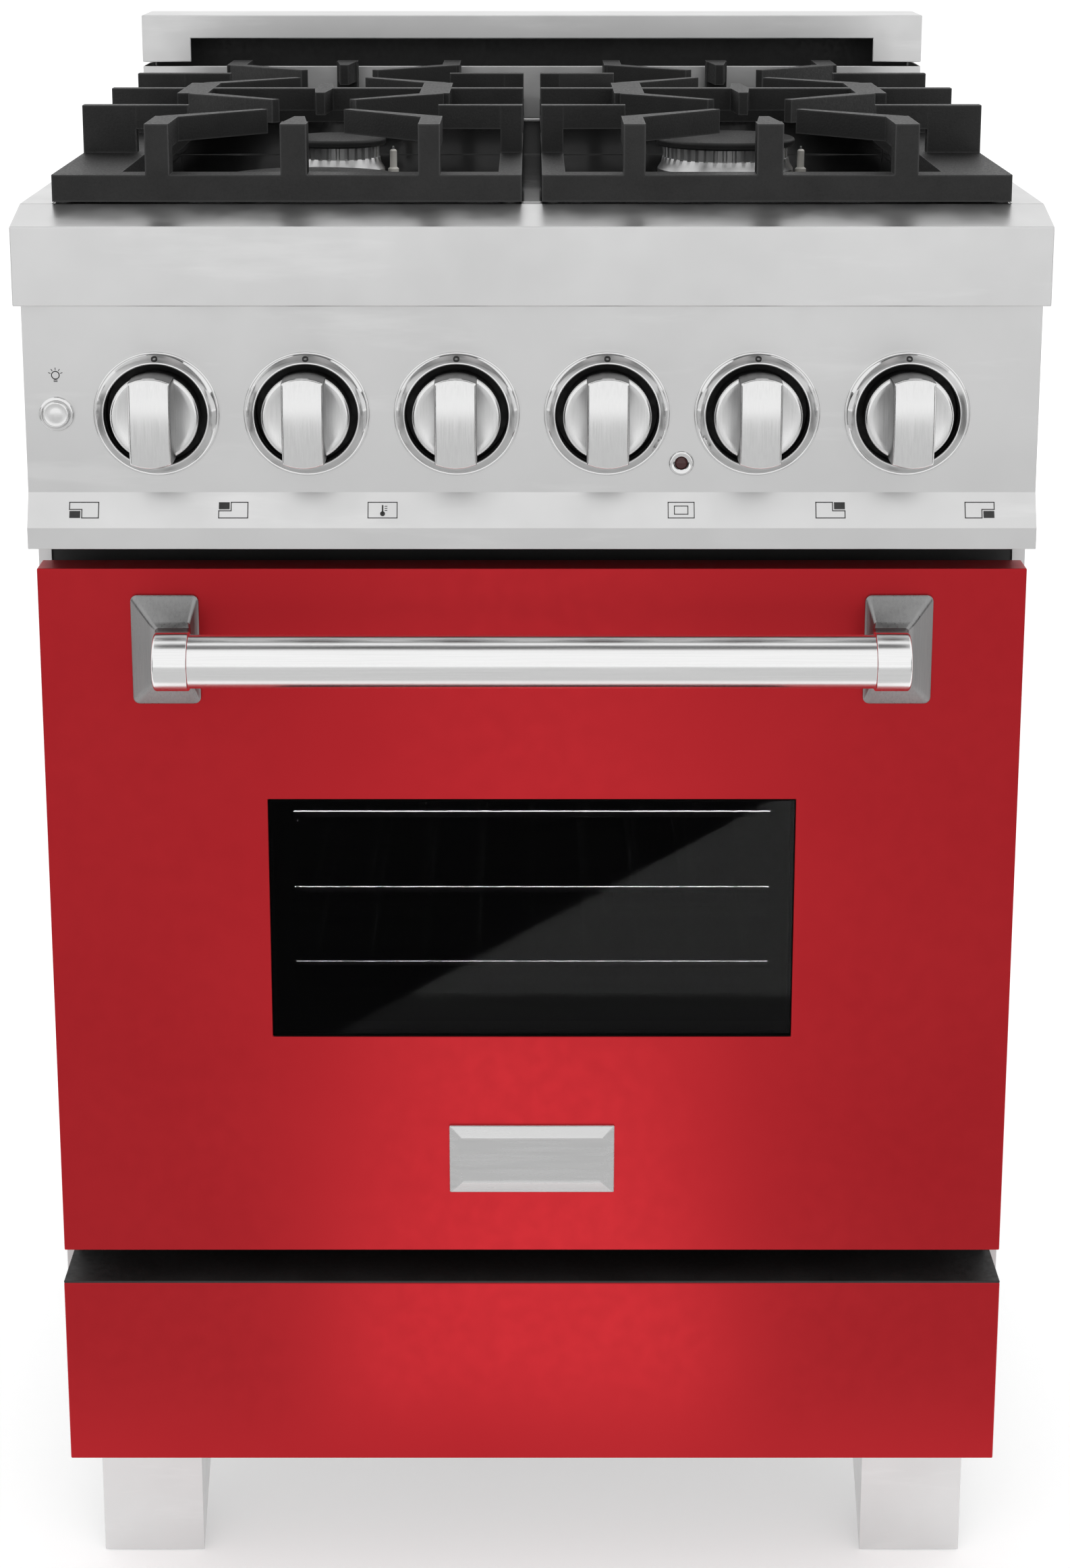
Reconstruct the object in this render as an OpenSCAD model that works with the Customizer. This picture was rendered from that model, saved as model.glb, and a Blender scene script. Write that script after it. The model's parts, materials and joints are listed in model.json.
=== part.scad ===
// Freestanding 24-inch gas range: four-burner cast-iron cooktop over a convection oven.
// +X is to the right seen from the front, +Y runs from front to back and +Z is up.
// The origin is on the floor, under the middle of the whole object.
// Depths named _d are measured back from the flat front of the ledge.

/* [Overall] */
// Width across the front ledge and the side panels
range_w = 610; // [600:1:760]
// Height of the cooktop above the floor
cook_h = 914; // [880:1:1100]
// Depth from the front of the ledge to the back of the backguard
body_d = 648; // [600:1:780]
// Height of the backguard above the cooktop
guard_rise = 80; // [70:1:160]
// Height of the legs
leg_h = 103; // [85:1:125]

/* [Sheet metal] */
// Thickness of the outer sheets
sheet_t = 1.5; // [1:0.1:2]
// How far the control panel stands in from each end of the ledge
panel_inset = 3; // [2:0.5:6]
// Depth at which the body's front frame stands
frame_d = 56; // [50:1:70]

/* [Ledge and control panel] */
// Height of the ledge, from its lower edge to the cooktop
ledge_h = 56; // [50:1:70]
// Depth of the sloping top of the ledge
ledge_top_d = 38; // [30:1:50]
// How far the ledge's top falls towards the front
ledge_fall = 9; // [4:1:14]
// Height of the whole control panel
panel_h = 147; // [140:1:170]
// Depth of the control panel's flat face behind the ledge
panel_face_d = 11; // [8:1:16]
// Height of the panel's sloping lower band
bevel_h = 20; // [14:1:26]
// Height of the panel's vertical lip
lip_h = 13; // [10:1:18]
// Depth of the lip behind the ledge
lip_d = 2; // [1:1:6]

/* [Knobs] */
// Distance between neighbouring knobs
knob_pitch = 89.4; // [84:0.1:98]
// Height of the knob axes below the cooktop
knob_drop = 122; // [112:1:128]
// Diameter of a knob's body
knob_dia = 52.6; // [42:0.1:58]
// Width of a knob's grip bar
grip_w = 24.6; // [16:0.1:30]
// How far a knob stands out from the panel's face
knob_reach = 36; // [28:1:46]
// Width of the polished ring around a knob
bezel_w = 7; // [4:0.5:8]
// Gap between a knob and its ring
knob_gap = 4.2; // [2:0.1:6]
// Diameter of a knob's stem
stem_dia = 8; // [6:0.5:10]
// Push travel of a burner knob
push_travel = 4; // [3:0.5:5]

/* [Lamp button and indicator] */
// Distance of the lamp button from the panel's middle
lamp_x = 283; // [270:1:286]
// Diameter of the lamp button
lamp_dia = 16; // [12:0.5:18]
// Push travel of the lamp button
lamp_travel = 3; // [2:0.5:4]
// Distance of the indicator lamp from the panel's middle
indicator_x = 89.4; // [85:0.1:94]
// Height of the indicator lamp below the knob axes
indicator_drop = 30; // [26:1:38]
// Diameter of the indicator's lens
indicator_dia = 8; // [6:0.5:10]

/* [Door] */
// Gap between the control panel and the door
door_gap_top = 13; // [8:1:18]
// Gap between the door and the kick panel
door_gap_low = 21; // [21:1:28]
// How far the door stands in from each side of the range
door_inset = 7; // [5:1:12]
// Depth of the door's face behind the ledge
door_face_d = 6; // [4:1:9]
// Width of the window
window_w = 324; // [240:1:360]
// Height of the window
window_h = 156; // [110:1:180]
// Height of the window's top below the door's top
window_drop = 146; // [120:1:160]
// Width of the badge plate
badge_w = 104; // [60:1:120]
// Height of the badge plate
badge_h = 45.5; // [24:0.5:50]
// Height of the badge plate above the door's lower edge
badge_rise = 41; // [30:1:60]

/* [Door hinge] */
// Depth of the hinge axis behind the ledge
hinge_d = 34; // [33:1:36]
// Height of the hinge axis above the door's lower edge
hinge_rise = 18; // [17:1:20]
// Diameter of the hinge pin
hinge_pin_dia = 8; // [6:0.5:10]

/* [Handle] */
// Diameter of the handle bar
bar_dia = 32; // [24:1:36]
// Wall of the handle bar's tube
bar_wall = 2; // [1:0.5:3]
// Distance from the door's face to the bar's axis
handle_standoff = 45.5; // [40:0.5:60]
// Length of the bar between its collars
bar_len = 404; // [300:1:440]
// Height of the bar's axis below the door's top
bar_drop = 45; // [40:1:60]
// Width of a bracket's foot
bracket_w = 41; // [34:1:46]
// Height of a bracket's foot
bracket_h = 68; // [56:1:76]
// Width of the collar that holds the bar
collar_w = 20.5; // [16:0.5:26]

/* [Kick panel and legs] */
// Height of the kick panel
kick_h = 126; // [100:1:140]
// Width of a leg cover
leg_w = 67; // [50:1:80]
// Distance from a leg cover to the side of the range
leg_inset = 17; // [10:1:30]
// Depth of a leg cover at its top
leg_top_d = 120; // [60:1:150]
// Diameter of a levelling foot's pad
foot_dia = 36; // [28:1:44]

/* [Grates] */
// Width of the stainless rail beside the grates
rail_w = 19.5; // [14:0.5:26]
// Gap between the two grates
grate_gap = 12; // [6:1:16]
// Gap between the grates and the backguard
grate_back_gap = 20; // [10:1:40]
// Height of a grate's border frame
border_h = 16; // [12:1:20]
// Height of the fingers' tops above the border's underside
grate_h = 46; // [40:1:56]
// Height of a finger's section
finger_h = 15; // [12:1:18]
// Width of a finger
finger_w = 10; // [8:0.5:13]
// Height of the pads under a grate
pad_h = 1; // [0.5:0.5:2]

/* [Burners] */
// Depth of the cooktop's well below its rim
well_depth = 28; // [24:1:34]
// Diameter of the front left burner's cap
cap_dia_front_left = 121; // [90:1:130]
// Diameter of the front right burner's cap
cap_dia_front_right = 57; // [45:1:80]
// Diameter of the rear left burner's cap
cap_dia_rear_left = 70; // [55:1:90]
// Diameter of the rear right burner's cap
cap_dia_rear_right = 101; // [80:1:115]
// Thickness of a burner cap
cap_t = 6; // [4:0.5:8]
// Height of a burner head above the floor of the well
head_h = 22; // [16:1:26]

/* [Oven] */
// Width left beside the oven cavity for insulation and air
oven_side = 80; // [74:1:90]
// Height of the oven's floor above the door's lower edge
oven_floor_rise = 50; // [46:1:60]
// Height of the door's top above the oven's ceiling
oven_roof_drop = 58; // [54:1:70]
// Depth left behind the oven cavity
oven_back_space = 160; // [140:1:180]
// Thickness of the insulation
wool_t = 36; // [25:1:38]
// Height of the lowest rack above the oven's floor
rack_rise = 118; // [100:1:125]
// Height between neighbouring racks
rack_pitch = 51; // [40:1:60]
// Diameter of a rack's frame wire
rack_wire = 6; // [4:0.5:8]
// Diameter of a rack's rods
rack_rod = 4; // [3:0.5:5]
// Number of rods on a rack
rack_rods = 11; // [7:2:15]
// Diameter of a heating element's tube
element_dia = 7; // [6:0.5:9]
// Diameter of the convection fan
fan_dia = 150; // [110:5:170]
// Number of blades on the fan
fan_blades = 10; // [6:1:14]

/* [Gas and power] */
// Diameter of the gas inlet's stub
inlet_dia = 21; // [18:0.5:26]
// Length of the gas inlet's stub behind the back panel
inlet_len = 24; // [18:1:28]
// Diameter of the cable gland's bore
gland_bore = 12; // [8:0.5:16]

/* [Clearances] */
// Clearance between fixed parts that slip together
slip_gap = 0.3; // [0.2:0.1:0.6]
// Radial clearance of a turning or sliding fit
run_gap = 0.05; // [0.02:0.01:0.08]
// Clearance between the door and the parts around it
door_clear = 0.5; // [0.4:0.1:1]

/* [Hidden] */
$fn = 64;

// Plan of the whole object
half_w = range_w / 2;
inlet_nut_t = 4;
inlet_margin = 0.5;
back_panel_d = body_d - sheet_t - inlet_nut_t - inlet_len - inlet_margin;
collar_wall = 1.5;
handle_reach = handle_standoff + bar_dia / 2 + collar_wall - door_face_d;
front_y = -(body_d - handle_reach) / 2;
skin_x = half_w - sheet_t;
side_flange = 7;
edge_d = frame_d - sheet_t;
pan_h = 30;

// Control panel
panel_top = cook_h - ledge_h;
panel_low = panel_top - panel_h;
panel_x = half_w - panel_inset;
bevel_low = panel_low + lip_h;
bevel_top = bevel_low + bevel_h;
panel_back_d = panel_face_d + sheet_t;

// Knob row: x of each knob from left to right, and what its stem enters
knob_z = cook_h - knob_drop;
knob_r = knob_dia / 2;
stem_r = stem_dia / 2;
cup_r = knob_r + knob_gap;
cup_wall = 1;
knob_seat = 3;
cup_depth = knob_seat + push_travel + 3;
knob_back_d = panel_face_d + knob_seat;
knob_skirt = 17;
neck_r = 12;
function knob_x(i) = (i - 2.5) * knob_pitch;

// Valves and plugs
plug_r = 9;
plug_d0 = knob_back_d + 20;
stem_in = 14;
plug_bore = stem_in + push_travel + 2;
plug_len = plug_bore + 6;
valve_w = 28;
valve_d0 = plug_d0 - 1;
valve_d1 = plug_d0 + plug_len + 4;
stem_len = stem_in + 20;
manifold_d1 = valve_d1 + 20;
manifold_h = 22;

// Lamp button and indicator
lamp_r = lamp_dia / 2;
ring_r = lamp_r + 2.5;
sleeve_r = lamp_r + 1.3;
button_in = 13;
sleeve_in = button_in + lamp_travel + 2;
indicator_r = indicator_dia / 2;
indicator_z = knob_z - indicator_drop;

// Door
door_x = half_w - door_inset;
door_top = panel_low - door_gap_top;
kick_top = leg_h + kick_h;
door_low = kick_top + door_gap_low;
pan_back_d = door_face_d + 22;
flange_back_d = pan_back_d + sheet_t;
plug_back_d = frame_d - 6;
window_x = window_w / 2;
window_top = door_top - window_drop;
window_low = window_top - window_h;
retainer_w = 12;
retainer_lip = 3;
glass_t = 4;
bar_z = door_top - bar_drop;
bar_d = door_face_d - handle_standoff;
bracket_z = bar_z - 5;
badge_low = door_low + badge_rise;
badge_t = 4;

// Hinge
hinge_z = door_low + hinge_rise;
hinge_r = hinge_pin_dia / 2;
ear_r = hinge_r + 3;
ear_t = 3;
ear_x = [door_x - 30, door_x - 13];
knuckle_gap = 0.5;
arm_half = 4;

// Oven
oven_x = half_w - oven_side;
oven_low = door_low + oven_floor_rise;
oven_top = door_top - oven_roof_drop;
liner_t = 1.2;
liner_d0 = frame_d + sheet_t;
oven_d1 = body_d - oven_back_space;
gasket_w = 10;
gasket_in = 8;
fan_z = (oven_low + oven_top) / 2;
fan_r = fan_dia / 2;
shaft_r = 4;
motor_r = 38;
motor_len = 46;
fan_space = 42;
rack_x = oven_x - 12;
rack_front_d = frame_d + 14;
rack_back_d = oven_d1 - fan_space - 16;
rack_levels = [0, 1, 2];
guide_r = 3;
rail_r = 2;
lamp_socket_r = 15;
lamp_hole_x = oven_x - 50;
lamp_hole_z = oven_top - 50;
element_x = 60;
element_span = oven_x - 30;
bake_z = oven_low + 20;
broil_z = oven_top - 20;
flue_r = 20;

// Gas line and cable gland at the back
pipe_x = (oven_x + liner_t + wool_t + skin_x) / 2;
pipe_back_d = back_panel_d - 46;
inlet_x = pipe_x - 42;
inlet_z = leg_h + 80;
gland_r = gland_bore / 2 + 3;
burner_stem_r = 12;

// Grates and cooktop
pan_x = half_w - rail_w;
rim_w = 12.5;
well_z = cook_h - well_depth;
grate_x0 = grate_gap / 2;
grate_x1 = pan_x;
guard_d = body_d - 60;
grate_d0 = ledge_top_d;
grate_len = guard_d - grate_back_gap - grate_d0;
grate_z = cook_h + pad_h;
burner_x = (grate_x0 + grate_x1) / 2 - 4.3;
burner_d_front = grate_d0 + grate_len / 4;
burner_d_rear = grate_d0 + grate_len * 3 / 4;
// Each burner: x, depth and cap diameter
burners = [
  [-burner_x, burner_d_front, cap_dia_front_left],
  [-burner_x, burner_d_rear, cap_dia_rear_left],
  [burner_x, burner_d_rear, cap_dia_rear_right],
  [burner_x, burner_d_front, cap_dia_front_right]
];
// The knob that feeds each burner
burner_knobs = [0, 1, 4, 5];

// Sections and places of the grates' bars
front_bar_w = 17;
gap_bar_w = 14;
side_bar_w = 40;
side_finger_in = 34;
post_span = [80.5, 81];
post_w = [13, 14.4];
mid_post_w = 15.7;
tip_w = 6.3;
diagonal_w = 13;
arm_d = [8, 54];
diagonal_d = [50, 102];
tip_gap = 26;
finger_gap = [82, 77];
cross_back = 5;
block_w = 20;
block_len = 44;

// Backguard
guard_top = cook_h + guard_rise;
cap_h = 36;
cap_gap = 3;
cap_low = guard_top - cap_h;
riser_top = cap_low - cap_gap;
slot_z = [riser_top, guard_top - 18];
guard_x = half_w - 2;
slot_x = guard_x - 38;

// Colours
steel = "silver";
dark = "dimgray";
red = "firebrick";
black = [0.08, 0.08, 0.09];
enamel = [0.16, 0.16, 0.19];
iron = [0.13, 0.13, 0.13];

// ---- Shared shapes ----

// Moves its children to a place given by x, depth and height.
module at(x, d, z) {
  translate([x, front_y + d, z]) children();
}

// A block between two x, two depths and two heights.
module slab(x, d, z) {
  at(x[0], d[0], z[0]) cube([x[1] - x[0], d[1] - d[0], z[1] - z[0]]);
}

// Its children and their mirror image.
module pair() {
  children();
  mirror([1, 0, 0]) children();
}

// A cylinder that runs towards the back.
module rod_d(x, z, d0, d1, r) {
  at(x, d0, z) rotate([-90, 0, 0]) cylinder(h = d1 - d0, r = r);
}

// A cylinder that runs along x.
module rod_x(x0, x1, d, z, r) {
  at(x0, d, z) rotate([0, 90, 0]) cylinder(h = x1 - x0, r = r);
}

// A cylinder that runs upwards.
module rod_z(x, d, z0, z1, r) {
  at(x, d, z0) cylinder(h = z1 - z0, r = r);
}

// A profile in depth and height, drawn out along x.
module along_x(x0, x1, points) {
  translate([x0, front_y, 0]) rotate([90, 0, 90]) linear_extrude(x1 - x0) polygon(points);
}

// A frame around an opening: outer and inner limits in x and z, with its two depths.
module window_frame(x, z, d, inner_x, inner_z) {
  difference() {
    slab([-x, x], d, z);
    slab([-inner_x, inner_x], [d[0] - 1, d[1] + 1], inner_z);
  }
}

// ---- Body ----

module base_pan() {
  color(dark) difference() {
    slab([-skin_x, skin_x], [frame_d + sheet_t, back_panel_d], [leg_h, leg_h + pan_h]);
    slab([-skin_x + sheet_t, skin_x - sheet_t], [frame_d + sheet_t * 2, back_panel_d - sheet_t],
      [leg_h + sheet_t, leg_h + pan_h + 1]);
  }
}

// The right side panel: an outer sheet with flanges at the front, the back and the top.
module side_panel() {
  color(steel) {
    slab([skin_x, half_w], [edge_d, body_d], [leg_h, well_z]);
    slab([skin_x - side_flange, half_w], [edge_d, frame_d], [leg_h, panel_low]);
    slab([skin_x - 20, skin_x], [body_d - sheet_t, body_d], [leg_h, well_z]);
    slab([skin_x - 12, skin_x], [frame_d + 40, back_panel_d - 40], [well_z - sheet_t, well_z]);
  }
}

module side_panel_left() {
  mirror([1, 0, 0]) side_panel();
}

module side_panel_right() {
  side_panel();
}

module back_panel() {
  color(dark) difference() {
    slab([-skin_x, skin_x], [back_panel_d, back_panel_d + sheet_t], [leg_h, well_z]);
    rod_d(inlet_x, inlet_z, back_panel_d - 1, back_panel_d + sheet_t + 1, inlet_dia / 2 + slip_gap);
    rod_d(-inlet_x, inlet_z, back_panel_d - 1, back_panel_d + sheet_t + 1, gland_r + slip_gap);
    for (i = [0:7], s = [-1, 1])
      slab([s * 110 - 60, s * 110 + 60], [back_panel_d - 1, back_panel_d + sheet_t + 1],
        [well_z - 60 - i * 12, well_z - 55 - i * 12]);
  }
}

// The black front frame, with the ears and pins that carry the door.
module oven_front_frame() {
  color(black) {
    difference() {
      slab([-skin_x, skin_x], [frame_d, frame_d + sheet_t], [leg_h, panel_low + 30]);
      slab([-oven_x, oven_x], [frame_d - 1, frame_d + sheet_t + 1], [oven_low, oven_top]);
    }
    pair() {
      for (x = ear_x) hinge_ear(x);
      rod_x(ear_x[0], ear_x[1] + ear_t, hinge_d, hinge_z, hinge_r);
    }
  }
}

module hinge_ear(x) {
  rod_x(x, x + ear_t, hinge_d, hinge_z, ear_r);
  slab([x, x + ear_t], [hinge_d, frame_d], [hinge_z - arm_half, hinge_z + arm_half]);
}

module oven_liner() {
  color(enamel) difference() {
    slab([-oven_x - liner_t, oven_x + liner_t], [liner_d0, oven_d1 + liner_t],
      [oven_low - liner_t, oven_top + liner_t]);
    slab([-oven_x, oven_x], [liner_d0 - 1, oven_d1], [oven_low, oven_top]);
    rod_d(0, fan_z, oven_d1 - 1, oven_d1 + liner_t + 1, shaft_r + 6);
    rod_d(lamp_hole_x, lamp_hole_z, oven_d1 - 1, oven_d1 + liner_t + 1, lamp_socket_r + slip_gap);
    for (x = [-1, 1] * element_x, z = [bake_z, broil_z])
      rod_d(x, z, oven_d1 - 1, oven_d1 + liner_t + 1, element_dia / 2 + slip_gap);
    rod_z(0, oven_d1 - 60, oven_top - 1, oven_top + liner_t + 1, flue_r);
  }
}

module oven_insulation() {
  color("khaki") difference() {
    slab([-oven_x - liner_t - wool_t, oven_x + liner_t + wool_t],
      [liner_d0 + 1, oven_d1 + liner_t + wool_t],
      [oven_low - liner_t - wool_t, oven_top + liner_t + wool_t]);
    slab([-oven_x - liner_t, oven_x + liner_t], [liner_d0, oven_d1 + liner_t],
      [oven_low - liner_t, oven_top + liner_t]);
    rod_d(0, fan_z, oven_d1, oven_d1 + liner_t + wool_t + 1, motor_r + 3);
    rod_d(lamp_hole_x, lamp_hole_z, oven_d1, oven_d1 + liner_t + wool_t + 1, lamp_socket_r + 3);
    for (x = [-1, 1] * element_x, z = [bake_z, broil_z])
      rod_d(x, z, oven_d1, oven_d1 + liner_t + wool_t + 1, element_dia / 2 + 3);
    rod_z(0, oven_d1 - 60, oven_top, oven_top + liner_t + wool_t + 1, flue_r + 3);
  }
}

module door_gasket() {
  color("darkgray")
    window_frame(oven_x + gasket_in + gasket_w,
      [oven_low - gasket_in - gasket_w, oven_top + gasket_in + gasket_w],
      [plug_back_d + door_clear, frame_d],
      oven_x + gasket_in,
      [oven_low - gasket_in, oven_top + gasket_in]);
}

// ---- Inside the oven ----

function rack_z(level) = oven_low + rack_rise + level * rack_pitch;

module rack_guides() {
  color("silver") pair() {
    for (d = [rack_front_d + 30, rack_back_d - 30])
      rod_z(oven_x - guide_r, d, oven_low + 40, rack_z(2) + 30, guide_r);
    for (level = rack_levels)
      rod_d(oven_x - guide_r * 2, rack_z(level) - rack_wire / 2 - rail_r,
        rack_front_d + 14, rack_back_d - 14, rail_r);
  }
}

// A wire rack: frame, front handle rail and rods, lying on the guides of one level.
module oven_rack(level) {
  z = rack_z(level);
  wire_r = rack_wire / 2;
  cross_r = wire_r - 0.4;
  rod_r = rack_rod / 2;
  pitch = (rack_x - wire_r) * 2 / (rack_rods + 1);
  color("gainsboro") {
    pair() rod_d(rack_x - wire_r, z, rack_front_d, rack_back_d, wire_r);
    for (d = [rack_front_d + wire_r, rack_back_d - wire_r])
      rod_x(-rack_x + wire_r, rack_x - wire_r, d, z, cross_r);
    for (i = [1:rack_rods])
      rod_d(-rack_x + wire_r + i * pitch, z + 0.3, rack_front_d + wire_r, rack_back_d - wire_r, rod_r);
  }
}

module rack_upper() {
  oven_rack(2);
}

module rack_middle() {
  oven_rack(1);
}

module rack_lower() {
  oven_rack(0);
}

// A round tube through a list of points, with a ball fitting at each corner.
module pipe(points, r) {
  for (i = [0:len(points) - 2]) {
    run = points[i + 1] - points[i];
    translate(points[i]) rotate([0, acos(run.z / norm(run)), atan2(run.y, run.x)])
      cylinder(h = norm(run), r = r);
  }
  if (len(points) > 2)
    for (i = [1:len(points) - 2]) translate(points[i]) sphere(r = r * 1.12);
}

// A heating element: a loop of tube near the cavity's walls, with its two ends through the back.
module element(z) {
  turn_d = oven_d1 - fan_space - 22;
  front_d = frame_d + 60;
  back_d = oven_d1 + liner_t + wool_t + 8;
  half = [
    [element_x, front_y + back_d, z], [element_x, front_y + turn_d, z],
    [element_span, front_y + turn_d, z], [element_span, front_y + front_d, z], [0, front_y + front_d, z]
  ];
  color("gray") pair() pipe(half, element_dia / 2);
}

module bake_element() {
  element(bake_z);
}

module broil_element() {
  element(broil_z);
}

// A round cover with slots, standing off the oven's back wall on its rim.
module fan_cover() {
  cover_r = fan_r + 12;
  d0 = oven_d1 - fan_space;
  color(dark) difference() {
    rod_d(0, fan_z, d0, oven_d1, cover_r);
    rod_d(0, fan_z, d0 + sheet_t, oven_d1 + 1, cover_r - sheet_t);
    for (i = [-3:3]) {
      reach = sqrt(pow(fan_r * 0.8, 2) - pow(i * 15, 2));
      slab([i * 15 - 3, i * 15 + 3], [d0 - 1, d0 + sheet_t + 1], [fan_z - reach, fan_z + reach]);
    }
  }
}

module fan_blade() {
  d0 = oven_d1 - fan_space + 10;
  color("silver") {
    rod_d(0, fan_z, d0 + 18, d0 + 20, fan_r * 0.55);
    rod_d(0, fan_z, d0 + 12, oven_d1 + liner_t + 20, shaft_r);
    for (i = [0:fan_blades - 1])
      at(0, d0, fan_z) rotate([0, i * 360 / fan_blades, 0])
        translate([fan_r * 0.4, 0, -0.6]) cube([fan_r * 0.6, 20, 1.2]);
  }
}

module fan_motor() {
  d0 = oven_d1 + liner_t;
  color("slategray") difference() {
    union() {
      rod_d(0, fan_z, d0, d0 + motor_len, motor_r - 6);
      slab([-motor_r * 1.3, motor_r * 1.3], [d0 + wool_t, d0 + wool_t + sheet_t], [fan_z - 12, fan_z + 12]);
    }
    rod_d(0, fan_z, d0 - 1, d0 + 30, shaft_r + run_gap);
  }
}

module oven_lamp() {
  color("ivory") {
    rod_d(lamp_hole_x, lamp_hole_z, oven_d1 - 4, oven_d1 + liner_t + 30, lamp_socket_r);
    rod_d(lamp_hole_x, lamp_hole_z, oven_d1 - 28, oven_d1 - 4, lamp_socket_r - 3);
  }
}

// ---- Cooktop ----

module cooktop_pan() {
  well_x = pan_x - rim_w;
  well_d = [grate_d0 + rim_w, guard_d - rim_w];
  color(black) difference() {
    union() {
      slab([-well_x - sheet_t, well_x + sheet_t], [well_d[0] - sheet_t, well_d[1] + sheet_t],
        [well_z, cook_h]);
      slab([-pan_x, pan_x], [grate_d0, guard_d], [cook_h - sheet_t, cook_h]);
    }
    slab([-well_x, well_x], well_d, [well_z + sheet_t, cook_h + 1]);
    for (b = burners) rod_z(b[0], b[1], well_z - 1, well_z + sheet_t + 1, burner_stem_r + slip_gap);
  }
}

module side_rails() {
  color(steel) pair() {
    slab([pan_x, half_w], [ledge_top_d, body_d], [cook_h - sheet_t, cook_h]);
    slab([skin_x, half_w], [ledge_top_d, body_d], [well_z, cook_h]);
    slab([pan_x, skin_x], [body_d - sheet_t, body_d], [well_z, cook_h]);
  }
}

// The ledge: a folded sheet with closed ends.
module front_ledge() {
  t = sheet_t;
  slope = ledge_fall / ledge_top_d;
  nose_z = cook_h - ledge_fall;
  color(steel) {
    along_x(-half_w, half_w, [
      [0, panel_top], [0, nose_z], [ledge_top_d, cook_h], [ledge_top_d, well_z],
      [ledge_top_d - t, well_z], [ledge_top_d - t, cook_h - t - slope * t],
      [t, nose_z - t + slope * t], [t, panel_top + t], [edge_d, panel_top + t], [edge_d, panel_top]
    ]);
    pair() along_x(skin_x, half_w, [
      [0, panel_top], [0, nose_z], [ledge_top_d, cook_h], [ledge_top_d, well_z],
      [edge_d, well_z], [edge_d, panel_top]
    ]);
  }
}

module burner_heads() {
  color("silver") for (b = burners) {
    head_r = b[2] / 2 - 5;
    head_z = well_z + sheet_t;
    difference() {
      union() {
        rod_z(b[0], b[1], head_z, head_z + head_h - 8, head_r + 3);
        rod_z(b[0], b[1], head_z + head_h - 8, head_z + head_h, head_r);
        rod_z(b[0], b[1], head_z - 16, head_z, burner_stem_r);
      }
      rod_z(b[0], b[1], head_z - 17, head_z + head_h + 1, 5);
    }
    rod_z(b[0] + head_r + 10, b[1] + 4, head_z, head_z + head_h - 2, 3);
  }
}

module burner_caps() {
  color(iron) for (b = burners) {
    cap_z = well_z + sheet_t + head_h;
    rod_z(b[0], b[1], cap_z, cap_z + cap_t - 2, b[2] / 2);
    at(b[0], b[1], cap_z + cap_t - 2) cylinder(h = 2, r1 = b[2] / 2, r2 = b[2] / 2 - 2);
  }
}

// ---- Grates ----

// A straight bar on the flat between two points, w0 wide at the first and w1 at the second.
module bar(p, q, w0, w1, z0, z1) {
  run = q - p;
  side = [-run.y, run.x] / norm(run) / 2;
  translate([0, front_y + grate_d0, z0]) linear_extrude(z1 - z0)
    polygon([p + side * w0, p - side * w0, q - side * w1, q + side * w1]);
}

// One quarter of the right grate, from its front to its middle. x runs from the gap outwards.
module grate_quarter() {
  in_x = [grate_x0, grate_x0 + gap_bar_w];
  out_x = [grate_x1 - side_finger_in, grate_x1];
  post = [burner_x - post_span[0], burner_x + post_span[1]];
  mid = grate_len / 2;
  quarter = grate_len / 4;
  g = grate_d0;
  front = [g, g + front_bar_w];
  side = [g + quarter - finger_w / 2, g + quarter + finger_w / 2];
  cross = [g + mid - cross_back, g + mid + 1];
  border = [grate_z, grate_z + border_h];
  full = [grate_z, grate_z + grate_h];
  zf = grate_z + grate_h - finger_h;
  zt = grate_z + grate_h;
  // Border frame
  slab([grate_x0, grate_x1], front, border);
  slab(in_x, [g, g + mid], border);
  slab([grate_x1 - side_bar_w, grate_x1], [g, g + mid], border);
  // Front posts, their arms and the diagonal fingers
  for (i = [0, 1]) {
    tip_x = burner_x + (i * 2 - 1) * tip_gap;
    slab([post[i] - post_w[i] / 2, post[i] + post_w[i] / 2], front, full);
    bar([post[i], arm_d[0]], [post[i], arm_d[1]], post_w[i], post_w[i], zf, zt);
    bar([post[i], diagonal_d[0]], [tip_x, diagonal_d[1]], diagonal_w, tip_w, zf, zt);
  }
  slab([burner_x - mid_post_w / 2, burner_x + mid_post_w / 2], front, full);
  bar([burner_x, arm_d[0]], [burner_x, arm_d[1] - 2], mid_post_w, tip_w, zf, zt);
  // Side fingers at a quarter of the depth
  slab(out_x, side, full);
  slab(in_x, side, full);
  bar([out_x[0] + 4, quarter], [burner_x + finger_gap[1], quarter], finger_w, finger_w - 3, zf, zt);
  bar([in_x[0] + 6, quarter], [burner_x - finger_gap[0], quarter], finger_w, finger_w - 3, zf, zt);
  // Middle cross bar, its blocks and the fingers that run towards the burner
  slab(out_x, cross, full);
  slab(in_x, cross, full);
  slab([grate_x0, grate_x1], cross, [zf, zt]);
  for (i = [0, 1]) {
    block_x = post[i] + 4;
    tip_x = burner_x + (i * 2 - 1) * (tip_gap - 1);
    bar([block_x, mid - block_len], [block_x, mid + 1], block_w, block_w, zf, zt);
    bar([post[i] + 2, mid - block_len + 2], [tip_x, mid - block_len - 49], diagonal_w, tip_w, zf, zt);
  }
  bar([burner_x, mid - block_len + 5], [burner_x, mid + 1], tip_w, diagonal_w, zf, zt);
}

module grate_pads() {
  for (x = [grate_x0 + 7, grate_x1 - 6], d = [grate_d0 + 6, guard_d - grate_back_gap - 6])
    rod_z(x, d, cook_h, grate_z, 5);
}

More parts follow.
